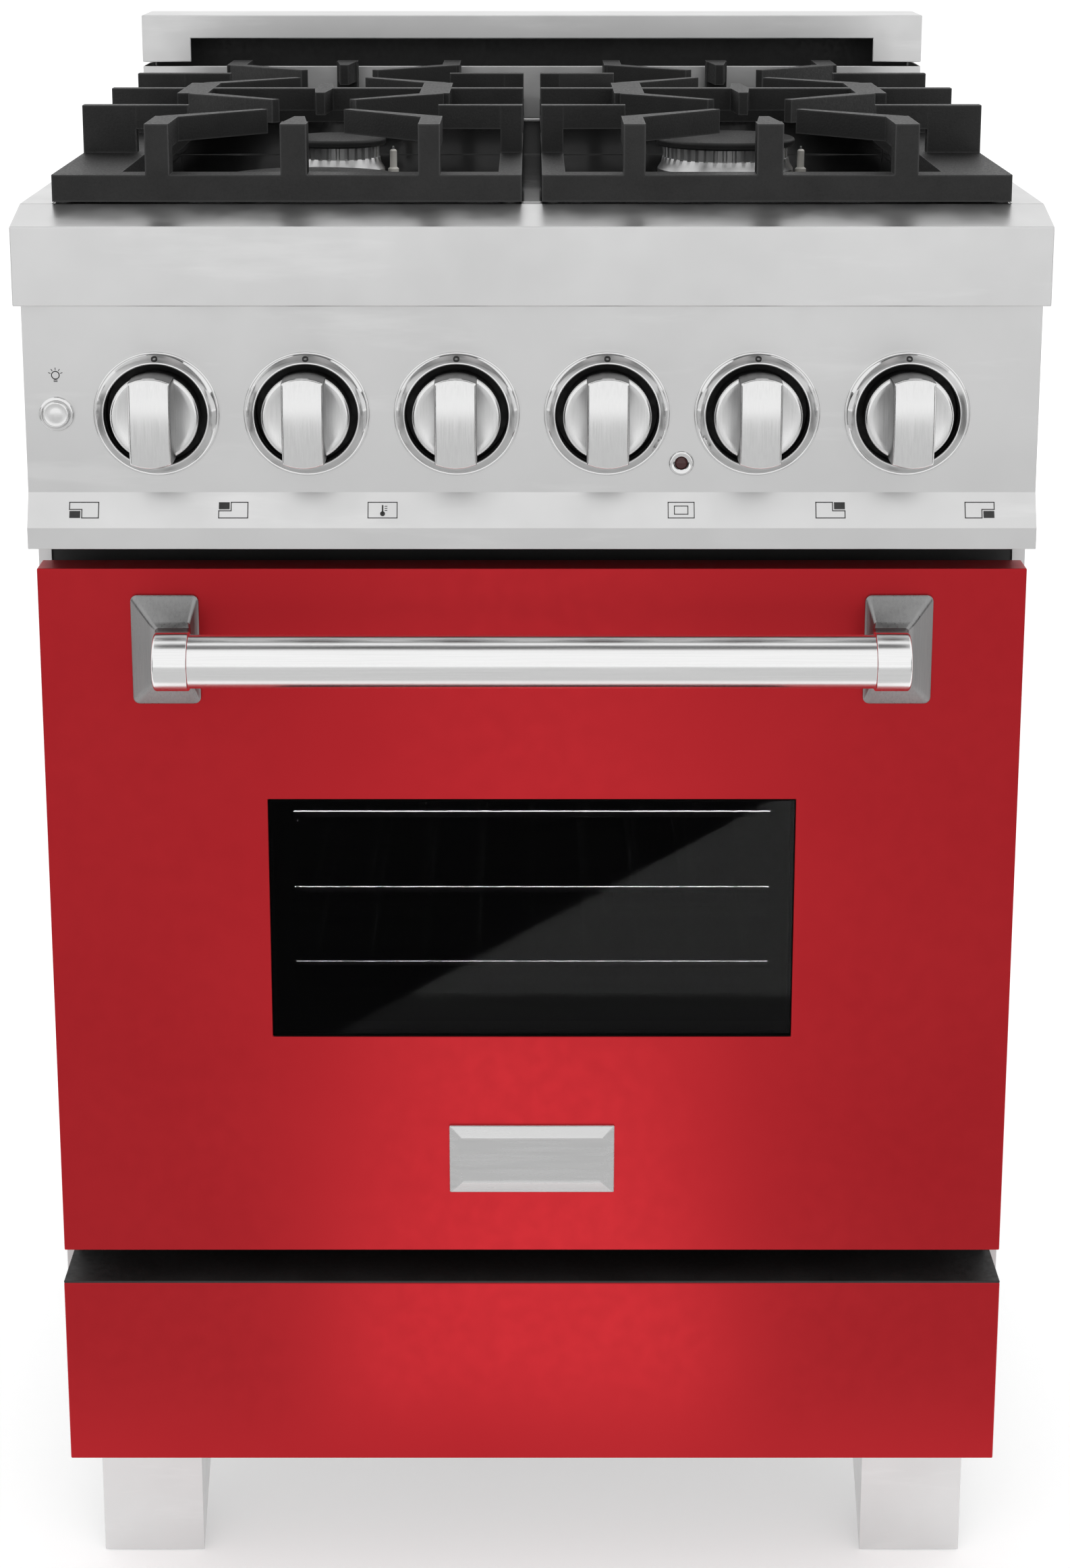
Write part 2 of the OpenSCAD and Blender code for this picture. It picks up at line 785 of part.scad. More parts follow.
module grate() {
  grate_quarter();
  translate([0, 2 * (front_y + grate_d0) + grate_len, 0]) mirror([0, 1, 0]) grate_quarter();
  grate_pads();
}

module grate_left() {
  color(iron) mirror([1, 0, 0]) grate();
}

module grate_right() {
  color(iron) grate();
}

// ---- Backguard ----

module backguard_riser() {
  t = sheet_t;
  color(steel) difference() {
    slab([-guard_x, guard_x], [guard_d + 2, body_d], [cook_h, riser_top]);
    slab([-guard_x + t, guard_x - t], [guard_d + 2 + t, body_d - t], [cook_h + t, riser_top + 1]);
    slab([-200, 200], [guard_d + 20, body_d - 20], [cook_h - 1, cook_h + t + 1]);
  }
}

module backguard_cap() {
  t = sheet_t;
  color(steel) {
    difference() {
      slab([-guard_x, guard_x], [guard_d, body_d], [cap_low, guard_top]);
      slab([-guard_x + t, guard_x - t], [guard_d + t, body_d - t], [cap_low - 1, guard_top - t]);
      slab([-slot_x, slot_x], [guard_d - 1, guard_d + t + 1], slot_z);
    }
    slab([-guard_x + 30, guard_x - 30], [body_d - t * 2, body_d - t], [cook_h + 10, guard_top - t]);
  }
}

// ---- Control panel ----

module control_panel() {
  t = sheet_t;
  color(steel) difference() {
    union() {
      along_x(-panel_x, panel_x, [
        [panel_face_d, panel_top], [panel_face_d, bevel_top], [lip_d, bevel_low], [lip_d, panel_low],
        [frame_d, panel_low], [frame_d, panel_low + t], [lip_d + t, panel_low + t],
        [lip_d + t, bevel_low - 0.3], [panel_back_d, bevel_top - 0.3], [panel_back_d, panel_top]
      ]);
      pair() along_x(panel_x - t, panel_x, [
        [panel_face_d, panel_top], [panel_face_d, bevel_top], [lip_d, bevel_low], [lip_d, panel_low],
        [frame_d, panel_low], [frame_d, panel_top]
      ]);
    }
    for (i = [0:5])
      rod_d(knob_x(i), knob_z, panel_face_d - 1, panel_back_d + 1, cup_r + cup_wall + slip_gap);
    rod_d(-lamp_x, knob_z, panel_face_d - 1, panel_back_d + 1, sleeve_r + slip_gap);
    rod_d(indicator_x, indicator_z, panel_face_d - 1, panel_back_d + 1, indicator_r + 1.5 + slip_gap);
  }
}

// Polished rings: one round each knob, one round the lamp button and one round the indicator.
module panel_bezels() {
  color("gainsboro") {
    for (i = [0:5]) at(knob_x(i), panel_face_d, knob_z) rotate([90, 0, 0]) rotate_extrude()
      polygon([[cup_r, 0], [cup_r + bezel_w, 0], [cup_r + bezel_w, 2], [cup_r + 1, 7], [cup_r, 7]]);
    difference() {
      union() {
        rod_d(-lamp_x, knob_z, panel_face_d - 2.5, panel_face_d, ring_r);
        rod_d(-lamp_x, knob_z, panel_face_d - 1, panel_face_d + sleeve_in + 2, sleeve_r);
      }
      rod_d(-lamp_x, knob_z, panel_face_d - 4, panel_face_d + sleeve_in, lamp_r + run_gap);
    }
    difference() {
      rod_d(indicator_x, indicator_z, panel_face_d - 2, panel_face_d, indicator_r + 3.5);
      rod_d(indicator_x, indicator_z, panel_face_d - 3, panel_face_d + 1, indicator_r);
    }
  }
}

// Black cups that hold the knobs: a wall through the panel, a floor with a stem hole and a neck.
module knob_cups() {
  floor_d = panel_face_d + cup_depth;
  color(black) for (i = [0:5]) difference() {
    union() {
      rod_d(knob_x(i), knob_z, panel_face_d, floor_d + cup_wall, cup_r + cup_wall);
      rod_d(knob_x(i), knob_z, floor_d, valve_d0, neck_r);
    }
    rod_d(knob_x(i), knob_z, panel_face_d - 1, floor_d, cup_r);
    rod_d(knob_x(i), knob_z, floor_d - 1, valve_d0 + 1, stem_r + 1);
  }
}

// A knob with its stem: a round skirt, a flat face and a grip bar with rounded ends.
module knob(i) {
  face_d = knob_back_d - knob_skirt;
  tip_d = panel_face_d - knob_reach;
  color("silver") {
    rod_d(knob_x(i), knob_z, face_d, knob_back_d, knob_r);
    intersection() {
      rod_d(knob_x(i), knob_z, tip_d, face_d + 1, knob_r + 1);
      slab([knob_x(i) - grip_w / 2, knob_x(i) + grip_w / 2], [tip_d, face_d + 1],
        [knob_z - knob_r - 2, knob_z + knob_r + 2]);
    }
    rod_d(knob_x(i), knob_z, knob_back_d - 1, knob_back_d + stem_len, stem_r);
  }
}

module knob_front_left() {
  knob(0);
}

module knob_rear_left() {
  knob(1);
}

module knob_oven_heat() {
  knob(2);
}

module knob_oven_mode() {
  knob(3);
}

module knob_rear_right() {
  knob(4);
}

module knob_front_right() {
  knob(5);
}

module lamp_button() {
  color("silver") rod_d(-lamp_x, knob_z, panel_face_d - 5, panel_face_d + button_in, lamp_r);
}

module indicator_lens() {
  color("darkred") {
    rod_d(indicator_x, indicator_z, panel_face_d - 1.5, panel_back_d + 12, indicator_r);
    rod_d(indicator_x, indicator_z, panel_back_d, panel_back_d + 12, indicator_r + 1.5);
  }
}

// ---- Gas valves and pipes ----

// The turning core of a burner's valve, with a bore in which the knob's stem slides.
module plug(i) {
  color("goldenrod") difference() {
    rod_d(knob_x(i), knob_z, plug_d0, plug_d0 + plug_len, plug_r);
    rod_d(knob_x(i), knob_z, plug_d0 - 1, plug_d0 + plug_bore, stem_r + run_gap);
  }
}

module plug_front_left() {
  plug(0);
}

module plug_rear_left() {
  plug(1);
}

module plug_rear_right() {
  plug(4);
}

module plug_front_right() {
  plug(5);
}

module gas_valves() {
  h = valve_w / 2;
  color("goldenrod") for (i = burner_knobs) difference() {
    union() {
      slab([knob_x(i) - h, knob_x(i) + h], [valve_d0, valve_d1], [knob_z - h, knob_z + h]);
      rod_z(knob_x(i), valve_d1 - 8, knob_z + h, knob_z + h + 8, 6);
    }
    rod_d(knob_x(i), knob_z, valve_d0 - 1, plug_d0 + plug_len + 1, plug_r + run_gap);
  }
}

// The thermostat and the function switch behind the two oven knobs.
module oven_controls() {
  h = 21;
  color("lightsteelblue") for (i = [2, 3]) difference() {
    slab([knob_x(i) - h, knob_x(i) + h], [valve_d0, valve_d1], [knob_z - h, knob_z + h]);
    rod_d(knob_x(i), knob_z, valve_d0 - 1, knob_back_d + stem_len + 1, stem_r + run_gap);
  }
}

function pt(x, d, z) = [x, front_y + d, z];

module gas_pipework() {
  valve_out = knob_z + valve_w / 2 + 8;
  tube_d = valve_d1 - 8;
  stem_low = well_z + sheet_t - 16;
  color("silver") {
    slab([knob_x(0) - 30, pipe_x], [valve_d1, manifold_d1],
      [knob_z - manifold_h / 2, knob_z + manifold_h / 2]);
    pipe([
      pt(pipe_x, manifold_d1 - 10, knob_z), pt(pipe_x, pipe_back_d, knob_z),
      pt(pipe_x, pipe_back_d, inlet_z + 80), pt(inlet_x, pipe_back_d, inlet_z + 80),
      pt(inlet_x, pipe_back_d, inlet_z + 28)
    ], 8);
    for (i = [0:3]) {
      b = burners[i];
      x = knob_x(burner_knobs[i]);
      z = panel_top - (b[1] > burner_d_front ? 18 : 8);
      pipe([
        pt(x, tube_d, valve_out), pt(x, tube_d, z), pt(x, b[1], z), pt(b[0], b[1], z),
        pt(b[0], b[1], stem_low)
      ], 4);
    }
  }
}

// The pressure regulator, its tube through the back panel, the lock nut and the inlet stub.
module gas_inlet() {
  nut_d = back_panel_d + sheet_t;
  stub_d = nut_d + inlet_nut_t;
  color("goldenrod") {
    rod_z(inlet_x, pipe_back_d, inlet_z - 14, inlet_z + 28, 18);
    rod_d(inlet_x, inlet_z, pipe_back_d, nut_d + 1, inlet_dia / 2 - 2);
    at(inlet_x, nut_d, inlet_z) rotate([-90, 0, 0]) cylinder(h = inlet_nut_t, r = inlet_dia / 2 + 5, $fn = 6);
    rod_d(inlet_x, inlet_z, stub_d, stub_d + inlet_len, inlet_dia / 2);
  }
}

// The cable gland at the back; its bore takes the power cord.
module cord_gland() {
  color(black) difference() {
    union() {
      rod_d(-inlet_x, inlet_z, back_panel_d - 8, back_panel_d + sheet_t + 14, gland_r);
      rod_d(-inlet_x, inlet_z, back_panel_d + sheet_t, back_panel_d + sheet_t + 5, gland_r + 3);
    }
    rod_d(-inlet_x, inlet_z, back_panel_d - 9, back_panel_d + sheet_t + 15, gland_bore / 2);
  }
}

// ---- Door ----

module door_outer_panel() {
  t = sheet_t;
  color(red) difference() {
    slab([-door_x, door_x], [door_face_d, pan_back_d], [door_low, door_top]);
    slab([-door_x + t, door_x - t], [door_face_d + t, pan_back_d + 1], [door_low + t, door_top - t]);
    slab([-window_x, window_x], [door_face_d - 1, door_face_d + t + 1], [window_low, window_top]);
  }
}

// The inner panel: a flange that closes the pan and a raised plug that faces the oven.
module door_inner_panel() {
  t = sheet_t;
  plug_x = oven_x + gasket_in + gasket_w + 6;
  plug_low = oven_low - gasket_in - gasket_w - 6;
  plug_top = oven_top + gasket_in + gasket_w + 6;
  view_x = window_x - 12;
  view_z = [window_low + 12, window_top - 12];
  color(enamel) difference() {
    union() {
      slab([-door_x + t, door_x - t], [pan_back_d, flange_back_d], [door_low + t, door_top - t]);
      slab([-plug_x, plug_x], [flange_back_d, plug_back_d], [plug_low, plug_top]);
    }
    slab([-plug_x + t, plug_x - t], [pan_back_d - 1, plug_back_d - t], [plug_low + t, plug_top - t]);
    slab([-view_x, view_x], [pan_back_d - 1, plug_back_d + 1], view_z);
    pair() slab([ear_x[0] - 2, ear_x[1] + ear_t + 2], [pan_back_d - 1, flange_back_d + 1],
      [door_low, hinge_z + ear_r + 2]);
  }
}

module door_glass_outer() {
  color([0.05, 0.05, 0.05, 0.6])
    slab([-window_x + slip_gap, window_x - slip_gap], [door_face_d + 0.3, door_face_d + 0.3 + glass_t],
      [window_low + slip_gap, window_top - slip_gap]);
}

// The frame that holds the outer glass against the back of the door's skin.
module window_retainer() {
  back = door_face_d + 0.3 + glass_t;
  t = sheet_t;
  color(black) difference() {
    window_frame(window_x + retainer_w, [window_low - retainer_w, window_top + retainer_w],
      [door_face_d + t, back + t],
      window_x - retainer_lip, [window_low + retainer_lip, window_top - retainer_lip]);
    slab([-window_x, window_x], [door_face_d, back], [window_low, window_top]);
  }
}

module door_glass_inner() {
  g = window_x + 6;
  color([0.3, 0.3, 0.3, 0.4])
    slab([-g, g], [plug_back_d - sheet_t - glass_t, plug_back_d - sheet_t], [window_low - 6, window_top + 6]);
}

// The door's half of the hinges: a knuckle on each pin and an arm fixed to the inner panel.
module door_hinges() {
  k0 = ear_x[0] + ear_t + knuckle_gap;
  k1 = ear_x[1] - knuckle_gap;
  color("darkgray") pair() difference() {
    union() {
      rod_x(k0, k1, hinge_d, hinge_z, ear_r);
      slab([k0, k1], [flange_back_d, flange_back_d + 5], [hinge_z, hinge_z + 70]);
    }
    rod_x(k0 - 1, k1 + 1, hinge_d, hinge_z, hinge_r + run_gap);
  }
}

module handle_bar() {
  color("gainsboro") difference() {
    rod_x(-bar_len / 2, bar_len / 2, bar_d, bar_z, bar_dia / 2);
    rod_x(-bar_len / 2 - 1, bar_len / 2 + 1, bar_d, bar_z, bar_dia / 2 - bar_wall);
  }
}

// Brackets: a flat foot, a tapered block and a round collar for the end of the bar.
module handle_brackets() {
  in_x = bar_len / 2 - 1;
  foot_z = [bracket_z - bracket_h / 2, bracket_z + bracket_h / 2];
  collar_r = bar_dia / 2 + collar_wall;
  foot_d = door_face_d - 5;
  color("silver") pair() {
    slab([in_x, in_x + bracket_w], [foot_d, door_face_d], foot_z);
    hull() {
      slab([in_x + 2, in_x + bracket_w - 2], [foot_d - 0.5, foot_d], foot_z + [2, -2]);
      slab([in_x + 4, in_x + collar_w], [bar_d + 8, bar_d + 9], [bar_z - 12, bar_z + 12]);
    }
    rod_x(bar_len / 2, bar_len / 2 + collar_w, bar_d, bar_z, collar_r);
  }
}

// A plain plate with a sloping border.
module badge() {
  edge = 7;
  color("silver") hull() {
    slab([-badge_w / 2, badge_w / 2], [door_face_d - 1.5, door_face_d], [badge_low, badge_low + badge_h]);
    slab([-badge_w / 2 + edge, badge_w / 2 - edge], [door_face_d - badge_t, door_face_d],
      [badge_low + edge, badge_low + badge_h - edge]);
  }
}

// ---- Kick panel, legs and feet ----

kick_x = door_x + 1;
kick_d = door_face_d - 1;

module kick_panel() {
  t = sheet_t;
  color(red) difference() {
    slab([-kick_x, kick_x], [kick_d, edge_d], [leg_h, kick_top - t]);
    slab([-kick_x + t, kick_x - t], [kick_d + t, edge_d + 1], [leg_h + t, kick_top]);
    slab([-kick_x + 20, kick_x - 20], [kick_d + 26, edge_d + 1], [leg_h - 1, leg_h + t + 1]);
  }
}

module kick_flange() {
  color(steel) slab([-kick_x, kick_x], [kick_d, edge_d], [kick_top - sheet_t, kick_top]);
}

// Covers in front of the front legs: a plate and two tapering cheeks.
module leg_covers() {
  t = sheet_t;
  x1 = half_w - leg_inset;
  x0 = x1 - leg_w;
  d0 = frame_d + 4;
  low = 1;
  color(steel) pair() {
    slab([x0, x1], [d0, d0 + t], [low, leg_h]);
    for (x = [x0, x1 - t]) along_x(x, x + t, [[d0, low], [d0, leg_h], [d0 + leg_top_d, leg_h]]);
  }
}

module feet() {
  x = half_w - leg_inset - leg_w / 2;
  color(black) pair() for (d = [frame_d + 34, back_panel_d - 60]) {
    rod_z(x, d, 0, 9, foot_dia / 2);
    rod_z(x, d, 9, leg_h - 30, 7);
    rod_z(x, d, leg_h - 30, leg_h, 14);
  }
}

base_pan();
side_panel_left();
side_panel_right();
back_panel();
oven_liner();
oven_front_frame();
oven_insulation();
door_gasket();
rack_guides();
rack_upper();
rack_middle();
rack_lower();
bake_element();
broil_element();
fan_cover();
fan_blade();
fan_motor();
oven_lamp();
cooktop_pan();
side_rails();
front_ledge();
control_panel();
backguard_riser();
backguard_cap();
burner_heads();
burner_caps();
gas_pipework();
gas_valves();
plug_front_left();
plug_rear_left();
plug_rear_right();
plug_front_right();
gas_inlet();
oven_controls();
panel_bezels();
knob_cups();
knob_front_left();
knob_rear_left();
knob_oven_heat();
knob_oven_mode();
knob_rear_right();
knob_front_right();
lamp_button();
indicator_lens();
door_outer_panel();
door_inner_panel();
door_glass_outer();
door_glass_inner();
window_retainer();
handle_bar();
handle_brackets();
door_hinges();
badge();
kick_panel();
kick_flange();
leg_covers();
feet();
grate_left();
grate_right();
cord_gland();
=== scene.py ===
import json
import math

import bmesh
import bpy
from mathutils import Matrix, Vector


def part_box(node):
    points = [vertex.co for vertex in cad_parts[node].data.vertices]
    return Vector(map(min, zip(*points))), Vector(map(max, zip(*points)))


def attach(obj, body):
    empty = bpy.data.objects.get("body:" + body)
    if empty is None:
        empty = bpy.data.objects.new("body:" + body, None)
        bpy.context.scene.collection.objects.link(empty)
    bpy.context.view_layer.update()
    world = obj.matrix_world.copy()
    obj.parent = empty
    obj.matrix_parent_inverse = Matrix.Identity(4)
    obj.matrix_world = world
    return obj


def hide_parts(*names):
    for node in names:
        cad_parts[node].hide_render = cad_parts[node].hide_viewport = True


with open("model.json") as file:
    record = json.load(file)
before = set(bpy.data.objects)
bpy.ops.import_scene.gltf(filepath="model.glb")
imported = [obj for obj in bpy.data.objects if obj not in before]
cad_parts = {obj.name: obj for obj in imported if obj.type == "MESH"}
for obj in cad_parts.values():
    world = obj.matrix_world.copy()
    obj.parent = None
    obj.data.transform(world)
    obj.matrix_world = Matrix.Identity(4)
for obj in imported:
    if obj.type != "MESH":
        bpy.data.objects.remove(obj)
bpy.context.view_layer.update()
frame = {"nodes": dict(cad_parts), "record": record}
NODES = frame["nodes"]

MM = 0.001


# ---- Places taken from the frame ----

def centre(node):
    low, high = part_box(node)
    return (low + high) / 2


def lowest(node):
    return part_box(node)[0]


FRONT = lowest("front_ledge").y
PANEL_Y = FRONT + 11 * MM
DOOR_Y = lowest("door_outer_panel").y
GLASS_Y = lowest("door_glass_outer").y
PANEL_LOW = lowest("control_panel").z
KNOBS = ["front_left", "rear_left", "oven_heat", "oven_mode", "rear_right", "front_right"]
knob_at = {name: centre("knob_" + name) for name in KNOBS}
KNOB_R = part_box("knob_oven_heat")[1].x - knob_at["oven_heat"].x
button_at = centre("lamp_button")
indicator_at = centre("indicator_lens")

# Sizes that several pieces round a knob share
KNOB_SEAT = 3 * MM
KNOB_GAP = 4.2 * MM
RING_WIDTH = 7 * MM
RING_PROUD = 7 * MM
GRIP_WIDTH = 24.6 * MM
STEM_R = 4 * MM


# ---- Camera ----

def make_camera():
    data = bpy.data.cameras.new("camera")
    camera = bpy.data.objects.new("camera", data)
    bpy.context.scene.collection.objects.link(camera)
    tilt_down = math.radians(13.27)
    camera.location = (0, -1.961, 1.119)
    camera.rotation_euler = (math.pi / 2 - tilt_down, 0, 0)
    data.sensor_width = 36
    data.lens = 65.78
    data.shift_x = 0.002
    data.shift_y = -0.165
    data.clip_start = 0.05
    data.clip_end = 60
    bpy.context.scene.camera = camera


make_camera()


# ---- Material building ----

class Nodes:
    """A material whose shader and texture nodes are added by short calls."""

    def __init__(self, name, **constants):
        self.material = bpy.data.materials.new(name)
        self.material.use_nodes = True
        self.tree = self.material.node_tree
        self.shader = self.tree.nodes["Principled BSDF"]
        for key, value in constants.items():
            self.shader.inputs[key.replace("_", " ")].default_value = value
        self.coords = None

    def add(self, kind, inputs=None, **settings):
        node = self.tree.nodes.new(kind)
        for key, value in settings.items():
            setattr(node, key, value)
        for key, value in (inputs or {}).items():
            self.feed(node.inputs[key], value)
        return node

    def feed(self, socket, value):
        if isinstance(value, bpy.types.NodeSocket):
            self.tree.links.new(value, socket)
        else:
            socket.default_value = value

    def place(self, scale=(1, 1, 1), rotation=(0, 0, 0)):
        """Object coordinates, scaled and turned."""
        if self.coords is None:
            self.coords = self.add("ShaderNodeTexCoord")
        mapping = self.add("ShaderNodeMapping", {"Scale": scale, "Rotation": rotation,
                                                "Vector": self.coords.outputs["Object"]})
        return mapping.outputs["Vector"]

    def noise(self, scale, detail=4.0, roughness=0.5, stretch=(1, 1, 1), turn=(0, 0, 0)):
        node = self.add("ShaderNodeTexNoise", {"Scale": scale, "Detail": detail,
                                              "Roughness": roughness,
                                              "Vector": self.place(stretch, turn)})
        return node.outputs["Fac"]

    def ramp(self, fac, stops):
        node = self.add("ShaderNodeValToRGB", {"Fac": fac})
        ramp = node.color_ramp
        while len(ramp.elements) < len(stops):
            ramp.elements.new(0.5)
        for element, (place, colour) in zip(ramp.elements, stops):
            element.position = place
            element.color = (*colour, 1) if len(colour) == 3 else colour
        return node.outputs["Color"]

    def spread(self, fac, low, high, start=0.35, end=0.65):
        node = self.add("ShaderNodeMapRange", {"Value": fac, "From Min": start, "From Max": end,
                                              "To Min": low, "To Max": high})
        return node.outputs["Result"]

    def mix(self, fac, a, b, blend="MIX"):
        node = self.add("ShaderNodeMix", data_type="RGBA", blend_type=blend)
        self.feed(node.inputs[0], fac)
        self.feed(node.inputs[6], a if isinstance(a, bpy.types.NodeSocket) else (*a, 1))
        self.feed(node.inputs[7], b if isinstance(b, bpy.types.NodeSocket) else (*b, 1))
        return node.outputs[2]

    def bump(self, height, strength, distance):
        node = self.add("ShaderNodeBump", {"Strength": strength, "Distance": distance,
                                          "Height": height})
        self.tree.links.new(node.outputs["Normal"], self.shader.inputs["Normal"])

    def set(self, **sockets):
        for key, value in sockets.items():
            self.feed(self.shader.inputs[key.replace("_", " ")], value)
        return self.material


def grey(value):
    return (value, value, value)


def lighter_edges(m, colour, edge_colour, radius=0.004):
    """Mixes a lighter colour in along sharp outer edges."""
    bevel = m.add("ShaderNodeBevel", {"Radius": radius}, samples=4)
    geometry = m.add("ShaderNodeNewGeometry")
    dot = m.add("ShaderNodeVectorMath", operation="DOT_PRODUCT")
    m.tree.links.new(bevel.outputs["Normal"], dot.inputs[0])
    m.tree.links.new(geometry.outputs["Normal"], dot.inputs[1])
    rim = m.spread(dot.outputs["Value"], 1.0, 0.0, 0.86, 0.995)
    return m.mix(rim, colour, edge_colour)


def steel_sheet():
    """Satin stainless with soft clouding and faint diagonal strokes."""
    m = Nodes("stainless", Metallic=1.0)
    cloud = m.noise(11, 4, 0.5)
    stroke = m.noise(9, 5, 0.6, stretch=(1.0, 1.0, 7.0), turn=(0, math.radians(-52), 0))
    tone = m.mix(m.spread(cloud, 0.0, 1.0), grey(0.69), grey(0.735))
    tone = m.mix(m.spread(stroke, 0.0, 0.5, 0.57, 0.72), tone, grey(0.80))
    return m.set(Base_Color=tone, Roughness=m.spread(m.noise(40, 3), 0.30, 0.38))


def brushed(name, tone, rough, stretch=(0.05, 1, 1), scale=900):
    m = Nodes(name, Metallic=1.0)
    grain = m.noise(scale, 3, 0.6, stretch=stretch)
    colour = m.mix(m.spread(grain, 0, 1, 0.3, 0.7), grey(tone - 0.03), grey(tone + 0.03))
    m.bump(grain, 0.03, 0.0001)
    return m.set(Base_Color=colour, Roughness=m.spread(grain, rough - 0.04, rough + 0.04, 0.3, 0.7))


def red_coat():
    """Red coated steel: a tinted satin metal film with a fine orange-peel skin."""
    m = Nodes("red_paint", Metallic=0.8, Specular_IOR_Level=0.2)
    cloud = m.noise(5, 3)
    colour = m.mix(m.spread(cloud, 0, 1), (0.425, 0.016, 0.022), (0.455, 0.019, 0.025))
    m.bump(m.noise(420, 3), 0.03, 0.0004)
    return m.set(Base_Color=colour, Roughness=m.spread(m.noise(90, 3), 0.30, 0.36))


def iron():
    """Cast iron with a matte enamel, lighter along its edges."""
    m = Nodes("cast_iron", Specular_IOR_Level=0.38)
    grit = m.noise(700, 4, 0.65)
    colour = m.mix(m.spread(m.noise(35, 4), 0, 1), grey(0.006), grey(0.011))
    colour = lighter_edges(m, colour, grey(0.05), 0.0018)
    m.bump(grit, 0.30, 0.0005)
    return m.set(Base_Color=colour, Roughness=m.spread(grit, 0.42, 0.60))


def coat(name, base, rough, scale=300, bump=0.05, metallic=0.0, **more):
    """A painted, moulded or enamelled surface with slight colour and gloss changes."""
    m = Nodes(name, Metallic=metallic, **more)
    fine = m.noise(scale, 3)
    darker = tuple(c * 0.82 for c in base)
    lighter = tuple(min(1.0, c * 1.15 + 0.002) for c in base)
    colour = m.mix(m.spread(m.noise(scale * 0.07, 4), 0, 1), darker, lighter)
    m.bump(fine, bump, 0.0004)
    return m.set(Base_Color=colour, Roughness=m.spread(fine, rough * 0.85, rough * 1.15))


def glass(name, tint, alpha, rough=0.03, gloss=0.5):
    m = Nodes(name, Alpha=alpha, IOR=1.5, Specular_IOR_Level=gloss)
    smear = m.noise(9, 4)
    colour = m.mix(m.spread(smear, 0, 1), tint, tuple(c * 1.2 for c in tint))
    m.material.surface_render_method = "BLENDED"
    return m.set(Base_Color=colour, Roughness=m.spread(smear, rough, rough * 1.6))


MATERIALS = {
    "stainless": steel_sheet(),
    "galvanised": coat("galvanised", grey(0.42), 0.42, 160, 0.08, 0.9),
    "red_paint": red_coat(),
    "black_paint": coat("black_paint", grey(0.012), 0.5),
    "black_enamel": coat("black_enamel", grey(0.008), 0.14, 120, 0.02, Coat_Weight=0.6,
                         Coat_Roughness=0.05),
    "oven_enamel": coat("oven_enamel", (0.008, 0.008, 0.010), 0.22, 260, 0.06,
                        Specular_IOR_Level=0.25),
    "glass_wool": coat("glass_wool", (0.62, 0.55, 0.30), 0.95, 500, 0.9),
    "gasket_braid": coat("gasket_braid", grey(0.16), 0.85, 900, 0.9),
    "bright_wire": brushed("bright_wire", 0.80, 0.16, (1, 1, 1), 500),
    "element_sheath": coat("element_sheath", (0.10, 0.095, 0.09), 0.6, 600, 0.3, 0.6),
    "bright_steel": brushed("bright_steel", 0.66, 0.32, (1, 1, 1), 300),
    "lamp_glass": coat("lamp_glass", (0.85, 0.82, 0.72), 0.2, 200, 0.05),
    "burner_alloy": brushed("burner_alloy", 0.62, 0.34, (1, 1, 0.2), 500),
    "cast_iron": iron(),
    "brass": coat("brass", (0.66, 0.47, 0.20), 0.32, 300, 0.05, 1.0),
    "control_case": coat("control_case", (0.45, 0.47, 0.50), 0.45, 200, 0.05, 0.8),
    "polished_ring": brushed("polished_ring", 0.80, 0.09, (1, 1, 1), 60),
    "black_plastic": coat("black_plastic", grey(0.006), 0.55),
    "knob_metal": brushed("knob_metal", 0.80, 0.22, (1, 1, 0.02), 1400),
    "indicator_lens": coat("indicator_lens", (0.05, 0.012, 0.012), 0.12, 200, 0.02),
    "dark_glass": glass("dark_glass", (0.0010, 0.0010, 0.0011), 0.70, 0.02, 0.022),
    "clear_glass": glass("clear_glass", (0.004, 0.004, 0.004), 0.20, 0.03, 0.1),
    "handle_steel": brushed("handle_steel", 0.88, 0.20, (0.01, 1, 1), 1500),
    # Darker copy of the handle steel for the bracket bodies: painted shade, not a finish of their own.
    "bracket_steel": brushed("bracket_steel", 0.30, 0.30, (1, 1, 0.05), 700),
    "badge_plate": brushed("badge_plate", 0.70, 0.26, (0.04, 1, 1), 400),
    "foot_black": coat("foot_black", grey(0.02), 0.45),
}
INK = coat("symbol_ink", grey(0.02), 0.5)
# Darker copy of the knob steel for the knobs' side walls: painted shade, not a finish of its own.
KNOB_SIDE_PAINTED_SHADE = brushed("knob_side_painted_shade", 0.17, 0.35, (1, 0.05, 1), 400)
CERAMIC = coat("igniter_ceramic", (0.75, 0.73, 0.68), 0.35)


def dress(obj, slot):
    obj.data.materials.clear()
    obj.data.materials.append(MATERIALS[slot])
    return obj


def soften(obj, width, segments=2):
    """Rounds a CAD node's sharp edges as it is shown, and leaves its mesh as it is."""
    weld = obj.modifiers.new("weld", "WELD")
    weld.merge_threshold = 0.00001
    flat = obj.modifiers.new("flat", "DECIMATE")
    flat.decimate_type = "DISSOLVE"
    flat.angle_limit = math.radians(1)
    bevel = obj.modifiers.new("bevel", "BEVEL")
    bevel.width = width
    bevel.segments = segments
    bevel.limit_method = "ANGLE"
    bevel.angle_limit = math.radians(35)
    bevel.use_clamp_overlap = True
    bevel.harden_normals = True


# ---- Mesh building ----

